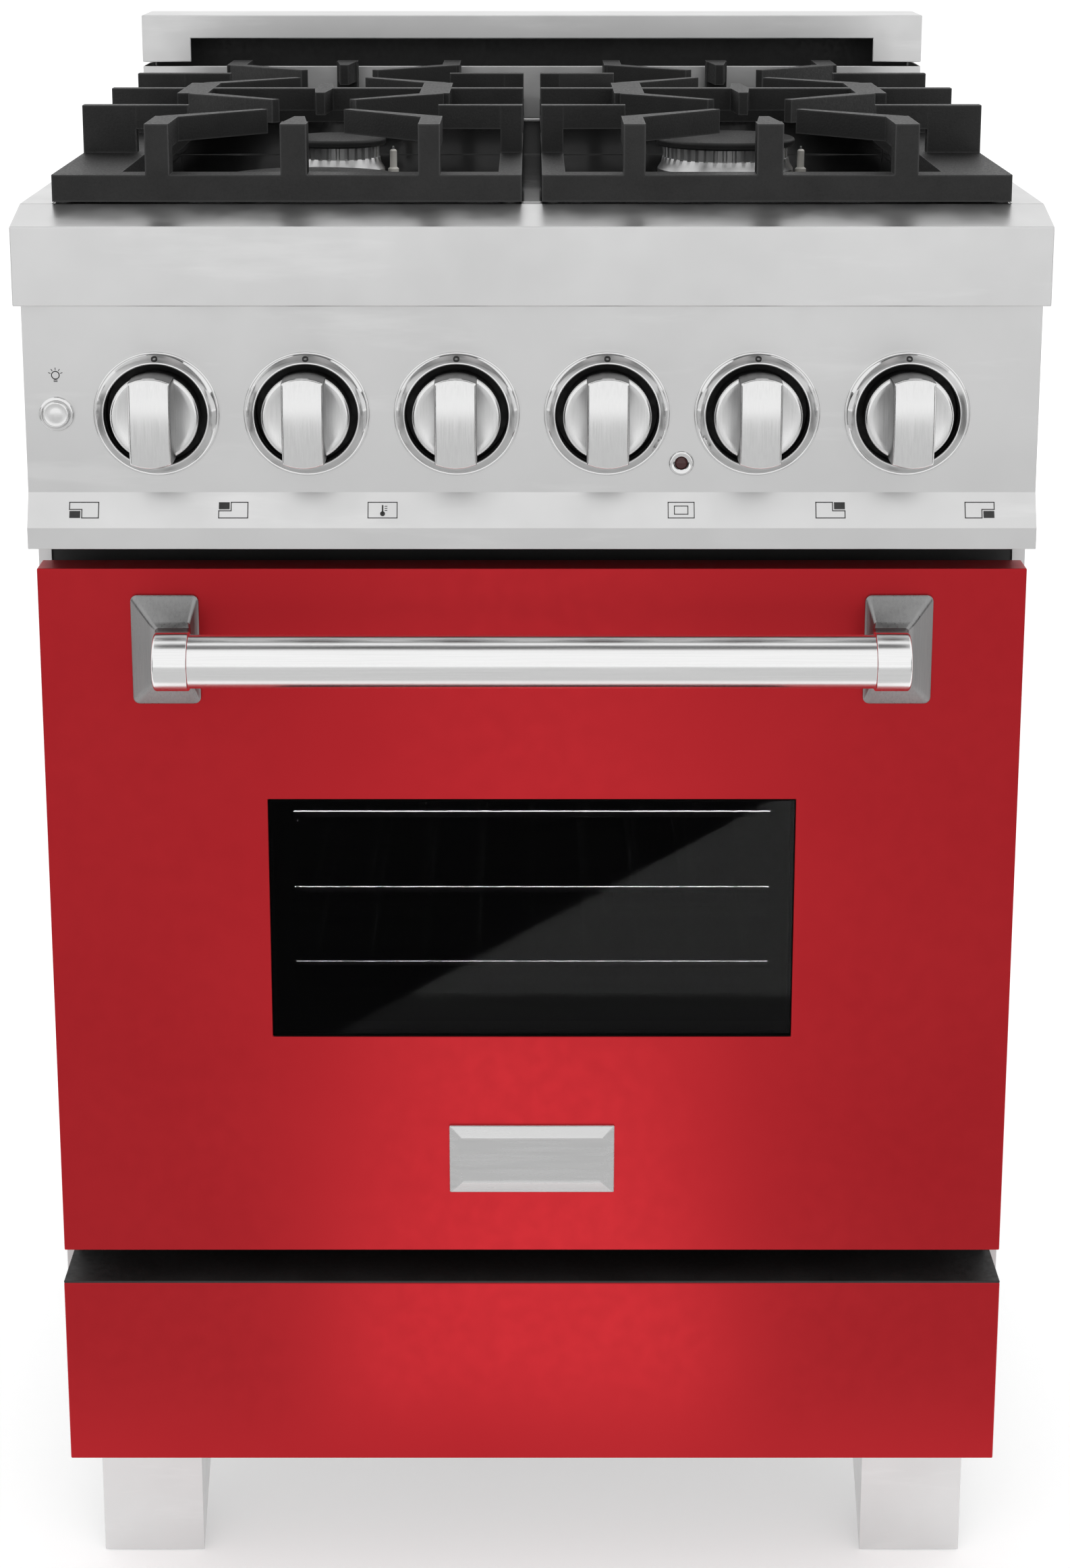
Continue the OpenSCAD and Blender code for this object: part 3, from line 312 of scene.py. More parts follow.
def new_object(name, bm, slot, body, replaces=(), smooth=35):
    """Makes a piece from a bmesh, with its material, its body and the CAD nodes it stands for."""
    bmesh.ops.remove_doubles(bm, verts=bm.verts, dist=1e-6)
    bmesh.ops.recalc_face_normals(bm, faces=bm.faces)
    mesh = bpy.data.meshes.new(name)
    bm.to_mesh(mesh)
    bm.free()
    obj = bpy.data.objects.new(name, mesh)
    bpy.context.scene.collection.objects.link(obj)
    if smooth:
        mesh.shade_smooth()
        mesh.set_sharp_from_angle(angle=math.radians(smooth))
    if isinstance(slot, str):
        dress(obj, slot)
    else:
        mesh.materials.append(slot)
    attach(obj, body)
    if replaces:
        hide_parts(*replaces)
    return obj


AXES = {
    "X": lambda radius, along, turn: (along, radius * math.cos(turn), radius * math.sin(turn)),
    "Y": lambda radius, along, turn: (radius * math.cos(turn), along, radius * math.sin(turn)),
    "Z": lambda radius, along, turn: (radius * math.cos(turn), radius * math.sin(turn), along),
}


def add_lathe(bm, profile, origin, axis="Y", steps=96, radius_at=None):
    """Turns a profile of (radius, distance along the axis) about a line through origin.
    radius_at(radius, along, turn) may change the radius round the turn."""
    place = AXES[axis]
    rings = []
    for radius, along in profile:
        if radius == 0:
            rings.append([bm.verts.new(Vector(origin) + Vector(place(0, along, 0)))])
            continue
        ring = []
        for i in range(steps):
            turn = 2 * math.pi * i / steps
            r = radius_at(radius, along, turn) if radius_at else radius
            ring.append(bm.verts.new(Vector(origin) + Vector(place(r, along, turn))))
        rings.append(ring)
    for a, b in zip(rings, rings[1:]):
        for i in range(steps):
            j = (i + 1) % steps
            if len(a) == 1 and len(b) == 1:
                continue
            if len(a) == 1:
                bm.faces.new((a[0], b[i], b[j]))
            elif len(b) == 1:
                bm.faces.new((a[i], b[0], a[j]))
            else:
                bm.faces.new((a[i], b[i], b[j], a[j]))


def arc(cx, cy, radius, start, end, steps=5):
    """Points (cx + r cos, cy + r sin) from one angle to another, in degrees."""
    angles = [math.radians(start + (end - start) * i / steps) for i in range(steps + 1)]
    return [(cx + radius * math.cos(a), cy + radius * math.sin(a)) for a in angles]


def add_prism(bm, outline, near, far, plane="XZ"):
    """A solid with the given outline between two distances along the third axis."""
    spots = {"XZ": lambda u, v, w: (u, w, v), "YZ": lambda u, v, w: (w, u, v),
             "XY": lambda u, v, w: (u, v, w)}[plane]
    a = [bm.verts.new(spots(u, v, near)) for u, v in outline]
    b = [bm.verts.new(spots(u, v, far)) for u, v in outline]
    bm.faces.new(a)
    bm.faces.new(b[::-1])
    for i in range(len(a)):
        j = (i + 1) % len(a)
        bm.faces.new((a[j], a[i], b[i], b[j]))


def rounded_rect(x0, x1, z0, z1, radius, steps=4):
    corners = [(x1 - radius, z1 - radius, 0), (x0 + radius, z1 - radius, 90),
               (x0 + radius, z0 + radius, 180), (x1 - radius, z0 + radius, 270)]
    points = []
    for cx, cz, start in corners:
        points += arc(cx, cz, radius, start, start + 90, steps)
    return points


# ---- Knobs and their rings ----

def knob_grip(bm, at, base_y, tip_y, width, radius):
    """The grip bar: a block with arched ends, a slightly crowned face and rounded edges."""
    half = width / 2
    edge = 1.9 * MM
    crown = 2.2 * MM
    flat = [-1, -0.985, -0.955, -0.91, -0.86, -0.6, -0.3, 0, 0.3, 0.6, 0.86, 0.91, 0.955, 0.985, 1]
    rows = [-1, -0.99, -0.97, -0.945, -0.92, -0.8, -0.6, -0.4, -0.2, 0,
            0.2, 0.4, 0.6, 0.8, 0.92, 0.945, 0.97, 0.99, 1]

    def rounding(distance_in):
        gap = max(0.0, edge - distance_in)
        return edge - math.sqrt(max(0.0, edge * edge - gap * gap))

    grid = []
    for u in flat:
        x = u * half
        reach = math.sqrt(radius * radius - x * x)
        column = []
        for v in rows:
            z = v * reach
            y = tip_y + crown * (z / radius) ** 2
            y += max(rounding(half - abs(x)), rounding(reach - abs(z)))
            column.append(bm.verts.new((at.x + x, y, at.z + z)))
        grid.append(column)
    for a, b in zip(grid, grid[1:]):
        for i in range(len(rows) - 1):
            bm.faces.new((a[i], a[i + 1], b[i + 1], b[i]))
    rim = grid[0][:] + [c[-1] for c in grid[1:]] + grid[-1][-2::-1] + [c[0] for c in grid[-2:0:-1]]
    foot = [bm.verts.new((v.co.x, base_y, v.co.z)) for v in rim]
    for i in range(len(rim)):
        j = (i + 1) % len(rim)
        bm.faces.new((rim[i], rim[j], foot[j], foot[i]))
    bm.faces.new(foot)


def make_knob(name):
    """Skirt with a rounded rim and a shallow dished face, the grip bar and the stem."""
    node = "knob_" + name
    low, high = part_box(node)
    at = knob_at[name]
    r = KNOB_R
    back = PANEL_Y + KNOB_SEAT
    face = back - 17 * MM
    bm = bmesh.new()
    rim = arc(r - 2.2 * MM, face + 2.2 * MM, 2.2 * MM, 0, -90, 6)
    profile = [(0, back), (r - 1.5 * MM, back), (r, back - 1.5 * MM)] + rim
    profile += [(r - 5 * MM, face + 0.5 * MM), (r * 0.5, face + 0.9 * MM), (0, face + 1.0 * MM)]
    add_lathe(bm, profile, (at.x, 0, at.z))
    knob_grip(bm, at, face + 1.2 * MM, low.y, GRIP_WIDTH, r + 0.9 * MM)
    stem = [(0, high.y), (STEM_R - 0.6 * MM, high.y), (STEM_R, high.y - 0.6 * MM)]
    stem += [(STEM_R, back - 1 * MM), (0, back - 1 * MM)]
    add_lathe(bm, stem, (at.x, 0, at.z), steps=32)
    knob = new_object("knob_body_" + name, bm, "knob_metal", node, [node])
    # Faces that turn sideways (skirt wall, grip sides) take the darker copy, which paints shade on them.
    knob.data.materials.append(KNOB_SIDE_PAINTED_SHADE)
    for face in knob.data.polygons:
        if abs(face.normal.y) < 0.25:
            face.material_index = 1


def make_ring(name):
    """Polished ring: a thin lip, a wide sloping face and a rolled inner edge."""
    at = knob_at[name]
    inner = KNOB_R + KNOB_GAP
    outer = inner + RING_WIDTH
    y = PANEL_Y
    crest = y - RING_PROUD
    bm = bmesh.new()
    profile = [(inner, y + 1 * MM), (outer, y), (outer, y - 1.3 * MM)]
    profile += arc(outer - 0.7 * MM, y - 1.3 * MM, 0.7 * MM, 0, -90, 4)
    profile += [(outer - 1.4 * MM, y - 1.9 * MM), (outer - 1.9 * MM, y - 2.3 * MM)]
    profile += [(inner + 1.5 * MM, crest + 0.7 * MM)]
    profile += arc(inner + 0.8 * MM, crest + 0.8 * MM, 0.8 * MM, -50, -180, 6)
    profile += [(inner, y + 1 * MM)]
    add_lathe(bm, profile, (at.x, 0, at.z), steps=128)
    return new_object("ring_" + name, bm, "polished_ring", "root", ["panel_bezels"], 25)


def make_ring_mark(name):
    """Small black circle at the top of a ring, lying on its sloping face."""
    at = knob_at[name]
    middle = KNOB_R + KNOB_GAP + 3.4 * MM
    slope = math.atan2(4.7, 4.2)
    bm = bmesh.new()
    hole, edge, thick = 1.0 * MM, 1.9 * MM, 0.12 * MM
    profile = [(hole, 0), (edge, 0), (edge, -thick), (hole, -thick), (hole, 0)]
    add_lathe(bm, profile, (0, 0, 0), steps=32)
    turn = Matrix.Rotation(-slope * 0.95, 4, "X")
    spot = Matrix.Translation((at.x, PANEL_Y - 4.55 * MM, at.z + middle))
    bm.transform(spot @ turn)
    return new_object("ring_mark_" + name, bm, INK, "root")


def make_knobs():
    for name in KNOBS:
        make_knob(name)
        make_ring(name)
        make_ring_mark(name)


# ---- Lamp button and indicator ----

def make_button():
    low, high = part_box("lamp_button")
    r = (high.x - low.x) / 2
    at = button_at
    bm = bmesh.new()
    face = [(r - 1.6 * MM, low.y + 0.35 * MM), (r - 2.2 * MM, low.y + 0.5 * MM), (r * 0.4, low.y + 0.15 * MM),
            (0, low.y)]
    rim = arc(r - 1.2 * MM, low.y + 1.4 * MM, 1.2 * MM, 0, -75, 5)
    add_lathe(bm, [(0, high.y), (r, high.y)] + rim + face, (at.x, 0, at.z), steps=64)
    new_object("button_cap", bm, "knob_metal", "lamp_button", ["lamp_button"])
    bm = bmesh.new()
    hole = r + 0.05 * MM
    outer = r + 2.5 * MM
    y = PANEL_Y
    back = y + 18 * MM
    profile = [(hole, back), (hole + 1.2 * MM, back), (hole + 1.2 * MM, y), (outer, y)]
    profile += arc(outer - 1.3 * MM, y - 1.1 * MM, 1.3 * MM, 0, -100, 6)
    profile += [(hole + 0.6 * MM, y - 2.4 * MM), (hole, y - 1.9 * MM), (hole, back)]
    add_lathe(bm, profile, (at.x, 0, at.z), steps=64)
    new_object("button_ring", bm, "polished_ring", "root", ["panel_bezels"])


def make_indicator():
    at = indicator_at
    lens = 4 * MM
    outer = lens + 3.5 * MM
    y = PANEL_Y
    bm = bmesh.new()
    profile = [(lens, y), (outer, y), (outer, y - 0.5 * MM)]
    profile += arc(outer - 1.3 * MM, y - 0.8 * MM, 1.3 * MM, 0, -100, 6)
    profile += [(lens + 0.8 * MM, y - 1.9 * MM), (lens, y - 1.2 * MM), (lens, y)]
    add_lathe(bm, profile, (at.x, 0, at.z), steps=48)
    new_object("indicator_ring", bm, "polished_ring", "root", ["panel_bezels"])
    bm = bmesh.new()
    dome = arc(0, y, lens - 0.1 * MM, 0, -90, 6)
    dome = [(r, y + (d - y) * 0.45) for r, d in dome[:-1]] + [(0, y - lens * 0.45)]
    back = y + 12 * MM
    add_lathe(bm, [(0, back), (lens - 0.1 * MM, back)] + dome, (at.x, 0, at.z), steps=32)
    new_object("indicator_dome", bm, "indicator_lens", "root", ["indicator_lens"])


# ---- Door handle and badge ----

def make_handle():
    low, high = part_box("handle_bar")
    mid_y, mid_z = (low.y + high.y) / 2, (low.z + high.z) / 2
    r = (high.z - low.z) / 2
    bm = bmesh.new()
    end = high.x
    bore = r - 2 * MM
    profile = [(bore, -end), (r, -end), (r, end), (bore, end), (bore, -end)]
    add_lathe(bm, profile, (0, mid_y, mid_z), "X", 96)
    tube = new_object("handle_tube", bm, "handle_steel", "door", ["handle_bar"])
    tube.visible_glossy = False
    foot_low, foot_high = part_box("handle_brackets")
    for side in (-1, 1):
        make_bracket(side, end, mid_y, mid_z, r, foot_low, foot_high)


def make_bracket(side, end, mid_y, mid_z, r, foot_low, foot_high):
    """Foot plate, sloping block, post and the collar round the bar's end."""
    x_in = end - 1 * MM
    x_out = foot_high.x
    z0, z1 = foot_low.z, foot_high.z
    rings = [
        (DOOR_Y, x_in, x_out, z0, z1, 4 * MM),
        (DOOR_Y - 2.2 * MM, x_in, x_out, z0, z1, 4 * MM),
        (DOOR_Y - 3.0 * MM, x_in + 0.8 * MM, x_out - 0.8 * MM, z0 + 0.8 * MM, z1 - 0.8 * MM, 3.4 * MM),
        (DOOR_Y - 11 * MM, x_in + 4.5 * MM, x_out - 12 * MM, z0 + 15 * MM, z1 - 14 * MM, 2.4 * MM),
        (DOOR_Y - 15 * MM, x_in + 3.2 * MM, x_out - 16 * MM, z0 + 20 * MM, z1 - 17 * MM, 2.2 * MM),
        (mid_y + r * 0.4, x_in + 2.2 * MM, x_in + 20 * MM, mid_z - r * 0.93, mid_z + r * 0.93, 2 * MM),
        (mid_y, x_in + 2.2 * MM, x_in + 20 * MM, mid_z - r * 0.93, mid_z + r * 0.93, 2 * MM),
    ]
    bm = bmesh.new()
    loops = []
    for y, x0, x1, low, high, corner in rings:
        loops.append([bm.verts.new((side * x, y, z)) for x, z in rounded_rect(x0, x1, low, high, corner)])
    for a, b in zip(loops, loops[1:]):
        for i in range(len(a)):
            j = (i + 1) % len(a)
            bm.faces.new((a[i], a[j], b[j], b[i]))
    bm.faces.new(loops[0])
    bm.faces.new(loops[-1])
    name = "left" if side < 0 else "right"
    # The bracket body takes the darker steel, which paints shade on it; its collar keeps the handle steel.
    new_object("bracket_" + name, bm, "bracket_steel", "door", ["handle_brackets"], 28)
    bm = bmesh.new()
    outer = r + 1.5 * MM
    width = 20.5 * MM
    a0, a1 = end, end + width
    profile = [(0, a1)] + [(rad, a) for a, rad in arc(a1 - 1.5 * MM, outer - 1.5 * MM, 1.5 * MM, 0, 90, 5)]
    profile += [(rad, a) for a, rad in arc(a0 + 0.8 * MM, outer - 0.8 * MM, 0.8 * MM, 90, 180, 4)]
    profile += [(r + 0.1 * MM, a0), (r + 0.1 * MM, a0 + 1 * MM), (0, a0 + 1 * MM)]
    add_lathe(bm, [(rad, side * a) for rad, a in profile], (0, mid_y, mid_z), "X", 96)
    new_object("collar_" + name, bm, "handle_steel", "door", ["handle_brackets"])


def make_badge():
    """Blank plate: a thin edge, a sloping border and a flat centre."""
    low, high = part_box("badge")
    bm = bmesh.new()
    steps = [(0, 0.0), (0, 1.4), (0.4, 1.9), (6.6, 3.6), (7.4, 3.9), (8.6, 3.6), (9.4, 3.5)]
    loops = []
    for inset, rise in steps:
        inset, y = inset * MM, high.y - rise * MM
        outline = rounded_rect(low.x + inset, high.x - inset, low.z + inset, high.z - inset, 0.8 * MM, 3)
        loops.append([bm.verts.new((x, y, z)) for x, z in outline])
    for a, b in zip(loops, loops[1:]):
        for i in range(len(a)):
            j = (i + 1) % len(a)
            bm.faces.new((a[i], a[j], b[j], b[i]))
    bm.faces.new(loops[0])
    bm.faces.new(loops[-1])
    new_object("badge_plate", bm, "badge_plate", "door", ["badge"], 20)


# ---- Symbols on the control panel ----

def strip(bm, p, q, width):
    """A thin raised line between two points of the (u, v) drawing plane."""
    p, q = Vector((*p, 0)), Vector((*q, 0))
    along = (q - p).normalized()
    across = Vector((-along.y, along.x, 0)) * width / 2
    p, q = p - along * width / 2, q + along * width / 2
    corners = [p + across, p - across, q - across, q + across]
    add_flat(bm, corners)


def add_flat(bm, corners, rise=0.15 * MM):
    low = [bm.verts.new(c) for c in corners]
    high = [bm.verts.new(Vector(c) + Vector((0, 0, rise))) for c in corners]
    bm.faces.new(high)
    bm.faces.new(low[::-1])
    for i in range(len(low)):
        j = (i + 1) % len(low)
        bm.faces.new((low[i], low[j], high[j], high[i]))


def outline(bm, points, width):
    for p, q in zip(points, points[1:] + points[:1]):
        strip(bm, p, q, width)


def ring_flat(bm, cx, cy, radius, width, steps=24):
    points = arc(cx, cy, radius, 0, 360 - 360 / steps, steps - 1)
    outline(bm, points, width)


def disc_flat(bm, cx, cy, radius, steps=20):
    add_flat(bm, [(x, y, 0) for x, y in arc(cx, cy, radius, 0, 360 - 360 / steps, steps - 1)])


def place_on_bevel(bm, x):
    """Moves a drawing from its own plane to the middle of the panel's sloping band."""
    low_y, low_z = FRONT + 2 * MM, PANEL_LOW + 13 * MM
    high_y, high_z = PANEL_Y, low_z + 20 * MM
    up = Vector((0, high_y - low_y, high_z - low_z)).normalized()
    out = Vector((1, 0, 0)).cross(up)
    spot = Vector((x, (low_y + high_y) / 2, (low_z + high_z) / 2)) + out * 0.05 * MM
    basis = Matrix(((1, up.x, out.x), (0, up.y, out.y), (0, up.z, out.z))).to_4x4()
    bm.transform(Matrix.Translation(spot) @ basis)


def burner_symbol(bm, right, rear):
    """A hob outline with one corner cut out, and a filled block in that corner."""
    w, h, line = 17.4 * MM, 9.6 * MM, 0.55 * MM
    notch_w, notch_h = 7.4 * MM, 5.2 * MM
    sx, sy = (1 if right else -1), (1 if rear else -1)
    x, y = sx * w / 2, sy * h / 2
    points = [(-x, -y), (x, -y), (x, y - sy * notch_h), (x - sx * notch_w, y - sy * notch_h),
              (x - sx * notch_w, y), (-x, y)]
    if sy * sx < 0:
        points = points[::-1]
    outline(bm, points, line)
    gap = 0.9 * MM
    ax, ay = x - sx * (notch_w - gap), y - sy * (notch_h - gap)
    x0, x1 = sorted((ax, x))
    y0, y1 = sorted((ay, y))
    add_flat(bm, [(x0, y0, 0), (x1, y0, 0), (x1, y1, 0), (x0, y1, 0)])


def heat_symbol(bm):
    w, h, line = 17.4 * MM, 9.6 * MM, 0.5 * MM
    outline(bm, [(-w / 2, -h / 2), (w / 2, -h / 2), (w / 2, h / 2), (-w / 2, h / 2)], line)
    disc_flat(bm, 0, -2.2 * MM, 1.5 * MM)
    strip(bm, (0, -2 * MM), (0, 2.6 * MM), 0.9 * MM)
    for i in range(3):
        y = (-0.2 + i * 1.3) * MM
        strip(bm, (1.4 * MM, y), (2.6 * MM, y), 0.4 * MM)


def oven_symbol(bm):
    w, h, line = 15.6 * MM, 9.6 * MM, 0.5 * MM
    for k in (1.0, 0.52):
        u, v = w * k / 2, h * k / 2
        outline(bm, [(-u, -v), (u, -v), (u, v), (-u, v)], line)


def lamp_symbol(bm):
    ring_flat(bm, 0, 1.2 * MM, 2.3 * MM, 0.5 * MM)
    for y in (-1.7, -2.6):
        strip(bm, (-0.9 * MM, y * MM), (0.9 * MM, y * MM), 0.45 * MM)
    start, stop, middle = 3.3 * MM, 4.3 * MM, 1.2 * MM
    for angle in (20, 55, 90, 125, 160):
        ux, uy = math.cos(math.radians(angle)), math.sin(math.radians(angle))
        strip(bm, (ux * start, middle + uy * start), (ux * stop, middle + uy * stop), 0.4 * MM)


def make_symbols():
    half_pitch = (knob_at["rear_left"].x - knob_at["front_left"].x) / 2

    def burner(right, rear):
        return lambda bm: burner_symbol(bm, right, rear)

    drawings = [
        ("front_left", "front_left", -1, burner(False, False)),
        ("rear_left", "rear_left", -1, burner(False, True)),
        ("heat", "oven_heat", -1, heat_symbol),
        ("oven", "oven_mode", 1, oven_symbol),
        ("rear_right", "rear_right", 1, burner(True, True)),
        ("front_right", "front_right", 1, burner(True, False)),
    ]
    for name, knob, side, draw in drawings:
        bm = bmesh.new()
        draw(bm)
        place_on_bevel(bm, knob_at[knob].x + side * half_pitch)
        new_object("symbol_" + name, bm, INK, "root", smooth=0)
    bm = bmesh.new()
    lamp_symbol(bm)
    upright = Matrix(((1, 0, 0), (0, 0, -1), (0, 1, 0))).to_4x4()
    bm.transform(Matrix.Translation((button_at.x, PANEL_Y - 0.02 * MM, button_at.z + 22 * MM)) @ upright)
    new_object("symbol_lamp", bm, INK, "root", smooth=0)


# ---- Burners ----

# Side, row and cap diameter in millimetres of each burner
BURNERS = {
    "front_left": (-1, 0, 121), "rear_left": (-1, 1, 70),
    "rear_right": (1, 1, 101), "front_right": (1, 0, 57),
}
caps_low, caps_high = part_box("burner_caps")
HEAD_HEIGHT = 22 * MM
well_top = lowest("cooktop_pan").z + 1.5 * MM
BURNER_X = caps_high.x - BURNERS["rear_right"][2] / 2 * MM
BURNER_Y = (caps_low.y + BURNERS["front_left"][2] / 2 * MM, caps_high.y - BURNERS["rear_right"][2] / 2 * MM)


def make_burner(name, side, rear, cap_mm):
    """Head with gas slots, cap with a rolled edge, and the igniter beside it."""
    x, y = side * BURNER_X, BURNER_Y[rear]
    r = cap_mm / 2 * MM
    z = well_top
    top = z + HEAD_HEIGHT
    head = r - 5 * MM
    slots = max(20, int(cap_mm * 0.42))

    def slotted(radius, along, turn):
        if along < z + 13.5 * MM or along > z + 21.5 * MM or radius < head * 0.8:
            return radius
        return radius - 2.6 * MM if math.cos(turn * slots) > 0.55 else radius

    bm = bmesh.new()
    profile = [(5 * MM, z), (head + 3 * MM, z), (head + 4 * MM, z + 1 * MM), (head + 4 * MM, z + 5 * MM),
               (head + 1.5 * MM, z + 9 * MM), (head + 0.5 * MM, z + 13 * MM),
               (head, z + 13.6 * MM), (head, z + 21.4 * MM), (head, z + 21.6 * MM), (head - 2 * MM, top),
               (5 * MM, top), (5 * MM, z)]
    add_lathe(bm, profile, (x, y, 0), "Z", slots * 8, slotted)
    new_object("burner_head_" + name, bm, "burner_alloy", "root", ["burner_heads"], 30)

    bm = bmesh.new()
    cap = [(0, top), (r - 1.2 * MM, top), (r, top + 1.2 * MM)]
    cap += [(rad, a) for rad, a in arc(r - 2.5 * MM, top + 3.2 * MM, 2.5 * MM, 0, 80, 5)]
    if name == "front_left":
        cap += [(r * 0.47, top + 6.1 * MM), (r * 0.445, top + 5.2 * MM), (r * 0.43, top + 5.2 * MM),
                (r * 0.42, top + 6.4 * MM)]
    cap += [(r * 0.25, top + 6.5 * MM), (0, top + 6.6 * MM)]
    add_lathe(bm, cap, (x, y, 0), "Z", 96)
    new_object("burner_cap_" + name, bm, "cast_iron", "root", ["burner_caps"])

    bm = bmesh.new()
    px, py = x + head + 10 * MM, y + 4 * MM
    profile = [(0, z), (4 * MM, z), (4 * MM, z + 4 * MM), (2.6 * MM, z + 5 * MM), (2.6 * MM, z + 17 * MM),
               (1.6 * MM, z + 18 * MM), (0, z + 18 * MM)]
    add_lathe(bm, profile, (px, py, 0), "Z", 24)
    new_object("igniter_" + name, bm, CERAMIC, "root", ["burner_heads"])
    bm = bmesh.new()
    add_lathe(bm, [(0, z + 17 * MM), (0.8 * MM, z + 17 * MM), (0.8 * MM, z + 20 * MM), (0, z + 20.4 * MM)],
              (px, py, 0), "Z", 12)
    new_object("igniter_tip_" + name, bm, "bright_steel", "root", ["burner_heads"])


def make_burners():
    for name, (side, rear, cap_mm) in BURNERS.items():
        make_burner(name, side, rear, cap_mm)


def make_vent_shade_sheet():
    """The black duct behind the backguard's slot: a black sheet put there to paint the shade inside the slot.
    """
    low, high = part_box("backguard_cap")
    wall = 4 * MM
    inner_low = (low.x + wall, low.y + wall, low.z - 1 * MM)
    inner_high = (high.x - wall, high.y - wall, high.z - wall)
    bm = bmesh.new()
    x0, y0, z0 = inner_low
    x1, y1, z1 = inner_high
    outer = [(y0, z1), (y1, z1), (y1, z0), (y1 - 1 * MM, z0), (y1 - 1 * MM, z1 - 1 * MM), (y0, z1 - 1 * MM)]
    add_prism(bm, outer, x0, x1, "YZ")
    new_object("vent_shade_sheet", bm, "black_paint", "root", smooth=0)


# ---- The CAD nodes that are shown as they are ----

SOFT_EDGES = {
    "front_ledge": 0.9, "control_panel": 0.7, "backguard_cap": 1.0, "backguard_riser": 0.8,
    "side_rails": 0.6, "side_panel_left": 0.6, "side_panel_right": 0.6, "kick_panel": 1.2,
    "kick_flange": 0.5, "door_outer_panel": 1.4, "leg_covers": 0.6, "grate_left": 1.1,
    "grate_right": 1.1, "cooktop_pan": 0.9, "door_inner_panel": 1.0, "door_gasket": 1.6,
    "door_glass_outer": 0.4, "door_glass_inner": 0.4, "window_retainer": 0.5, "oven_front_frame": 0.5,
}


def dress_nodes():
    for part in frame["record"]["subparts"]:
        dress(NODES[part["node"]], part["material_slot"])
    for node, width in SOFT_EDGES.items():
        soften(NODES[node], width * MM)


# ---- Stage and light ----

def make_stage():
    bm = bmesh.new()
    bmesh.ops.create_grid(bm, x_segments=1, y_segments=1, size=30)
    mesh = bpy.data.meshes.new("floor")
    bm.to_mesh(mesh)
    bm.free()
    floor = bpy.data.objects.new("floor", mesh)
    bpy.context.scene.collection.objects.link(floor)
    m = Nodes("floor_white", Roughness=0.9, Specular_IOR_Level=0.1, Emission_Strength=0.38)
    m.shader.inputs["Base Color"].default_value = (0.80, 0.80, 0.80, 1)
    m.shader.inputs["Emission Color"].default_value = (1, 1, 1, 1)
    mesh.materials.append(m.material)


def area_light(name, place, aim, size, size_y, power):
    data = bpy.data.lights.new(name, "AREA")
    data.shape = "RECTANGLE"
    data.size = size
    data.size_y = size_y
    data.energy = power
    light = bpy.data.objects.new(name, data)
    bpy.context.scene.collection.objects.link(light)
    light.location = place
    light.visible_camera = False
    light.rotation_euler = (Vector(aim) - Vector(place)).to_track_quat("-Z", "Y").to_euler()
    return light


def reflector(name, corners, brightness, only=None, over=False):
    """A card seen only in reflections; one laid over another adds its light to it."""
    mesh = bpy.data.meshes.new(name)
    mesh.from_pydata(corners, [], [tuple(range(len(corners)))])
    card = bpy.data.objects.new(name, mesh)
    bpy.context.scene.collection.objects.link(card)
    material = bpy.data.materials.new(name)
    material.use_nodes = True
    tree = material.node_tree
    tree.nodes.remove(tree.nodes["Principled BSDF"])
    glow = tree.nodes.new("ShaderNodeEmission")
    glow.inputs["Color"].default_value = (1, 1, 1, 1)
    glow.inputs["Strength"].default_value = brightness
    surface = glow.outputs["Emission"]
    if over:
        clear = tree.nodes.new("ShaderNodeBsdfTransparent")
        total = tree.nodes.new("ShaderNodeAddShader")
        tree.links.new(surface, total.inputs[0])
        tree.links.new(clear.outputs["BSDF"], total.inputs[1])
        surface = total.outputs["Shader"]
    tree.links.new(surface, tree.nodes["Material Output"].inputs["Surface"])
    mesh.materials.append(material)
    card.visible_camera = False
    card.visible_diffuse = False
    card.visible_shadow = False
    card.visible_transmission = False
    if only:
        light_only(card, name, only)
    return card


def light_only(source, name, nodes):
    """Limits a light or card to a few CAD pieces."""
    group = bpy.data.collections.new(name + "_targets")
    for node in nodes:
        group.objects.link(NODES[node])
    source.light_linking.receiver_collection = group


def rectangle(x0, x1, y0, y1, z0, z1):
    """Four corners; a card that lies flat has z0 = z1, and one that stands has y0 = y1."""
    return [(x0, y0, z0), (x1, y0, z0), (x1, y1, z1), (x0, y1, z1)]


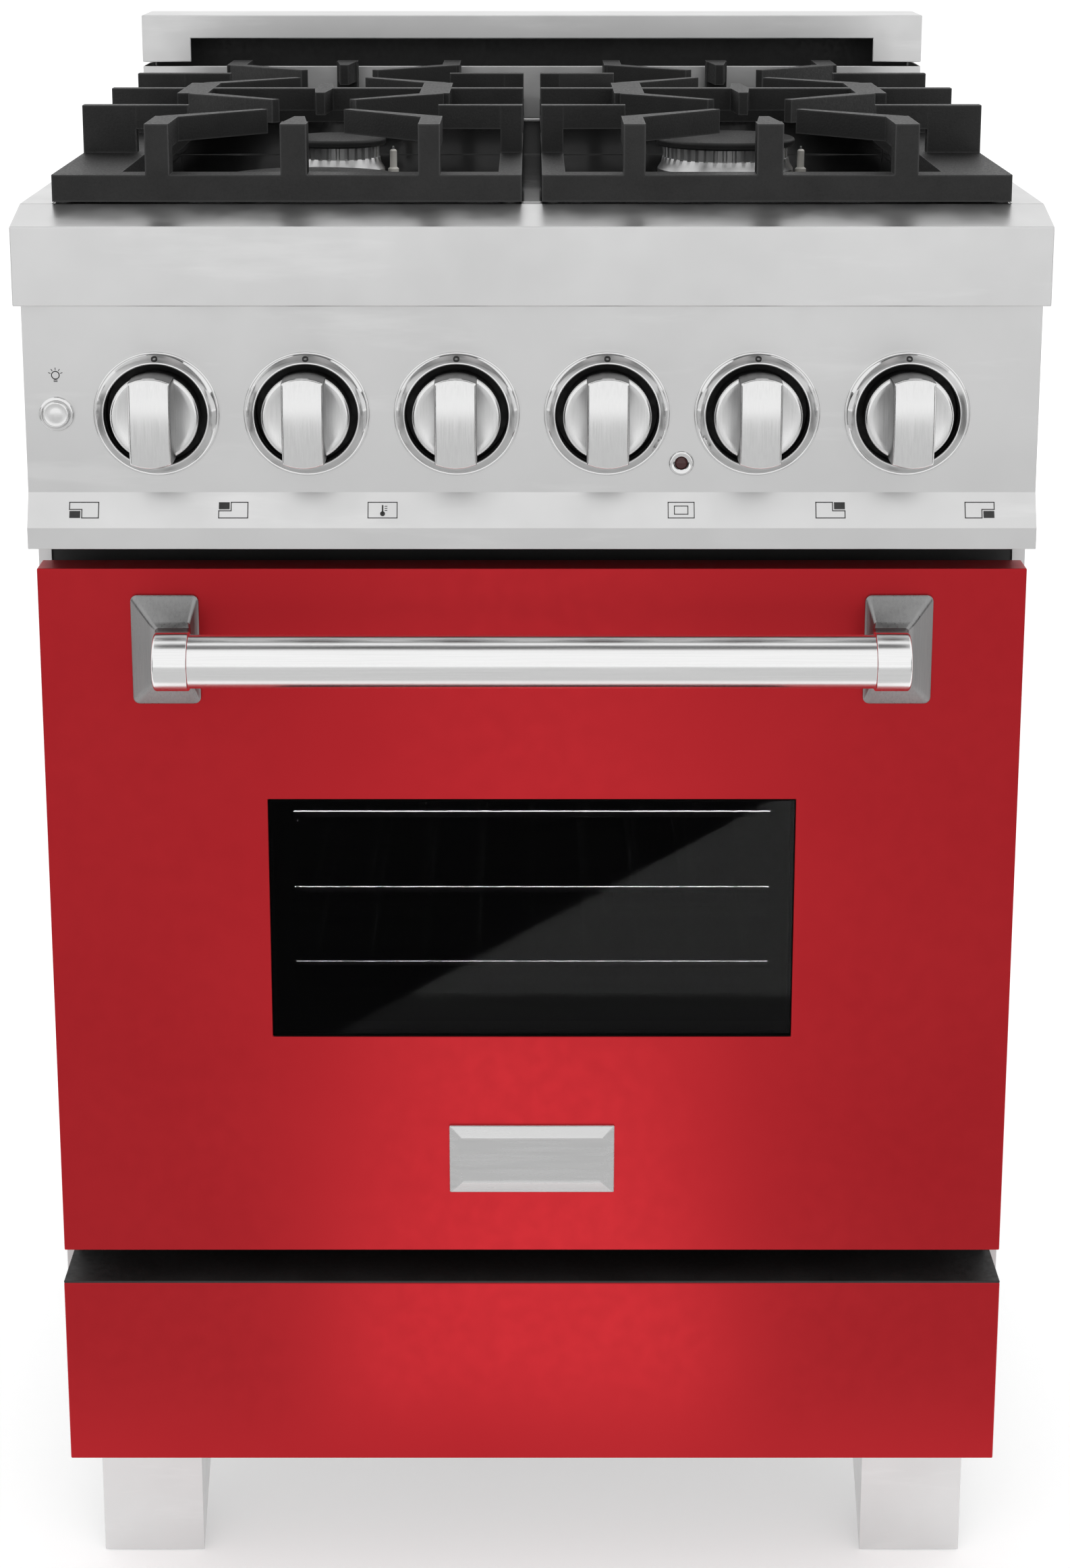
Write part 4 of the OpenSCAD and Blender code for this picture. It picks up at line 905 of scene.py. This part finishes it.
def mirrored_on_floor(across, down):
    """The floor point that the window shows at a share of its width and height."""
    eye = bpy.context.scene.camera.location
    low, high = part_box("window_retainer")
    x = low.x + across * (high.x - low.x)
    z = high.z - down * (high.z - low.z)
    height = 0.03
    reach = (eye.z - height) / (eye.z - z)
    behind = 2 * GLASS_Y - eye.y
    return (eye.x + (x - eye.x) * reach, behind + (GLASS_Y - behind) * reach, height)


def window_glint():
    """The diagonal reflection in the window and the fainter band under it."""
    bright = [(0.97, 0.02), (0.965, 0.78), (0.28, 0.78)]
    faint = [(0.965, 0.78), (0.965, 0.92), (0.15, 0.92), (0.28, 0.78)]
    for name, shape, strength in (("glint", bright, 12), ("glint_low", faint, 4)):
        corners = [mirrored_on_floor(*point) for point in shape]
        reflector(name, corners, strength, ["door_glass_outer"], True)


def rack_glow():
    """A narrow panel just inside the oven's mouth that lights only the wire racks."""
    glow = area_light("rack_glow", (0, FRONT + 0.064, 0.615), (0, FRONT + 0.13, 0.40), 0.40, 0.02, 2.2)
    light_only(glow, "rack_glow", ["rack_upper", "rack_middle", "rack_lower"])


# The side cards end in front of the range, so its side panels don't mirror them.
SIDE_CARD_END = FRONT - 0.25


def make_light():
    world = bpy.data.worlds.new("studio")
    world.use_nodes = True
    world.node_tree.nodes["Background"].inputs["Color"].default_value = (1, 1, 1, 1)
    world.node_tree.nodes["Background"].inputs["Strength"].default_value = 1.0
    bpy.context.scene.world = world
    reflector("floor_tone", rectangle(-3, 3, -6, -0.50, 0.002, 0.002), 0.64)
    stripe = rectangle(-0.15, 0.15, -5, -0.52, 0.004, 0.004)
    reflector("floor_strip", stripe, 1.05, ["door_outer_panel", "kick_panel"], True)
    reflector("dark_top", rectangle(-0.9, 0.9, -1.3, -0.45, 3.0, 3.0), 0.12)
    for name, x in (("dark_left", -1.5), ("dark_right", 1.5)):
        corners = [(x, -1.5, 0.1), (x, SIDE_CARD_END, 0.1), (x, SIDE_CARD_END, 1.0), (x, -1.5, 1.0)]
        reflector(name, corners, 0.06)
    window_glint()
    rack_glow()
    view = bpy.context.scene.view_settings
    view.view_transform = "Standard"
    view.look = "None"
    view.exposure = 0
    view.gamma = 1


dress_nodes()
make_knobs()
make_button()
make_indicator()
make_handle()
make_badge()
make_symbols()
make_burners()
make_vent_shade_sheet()
make_stage()
make_light()
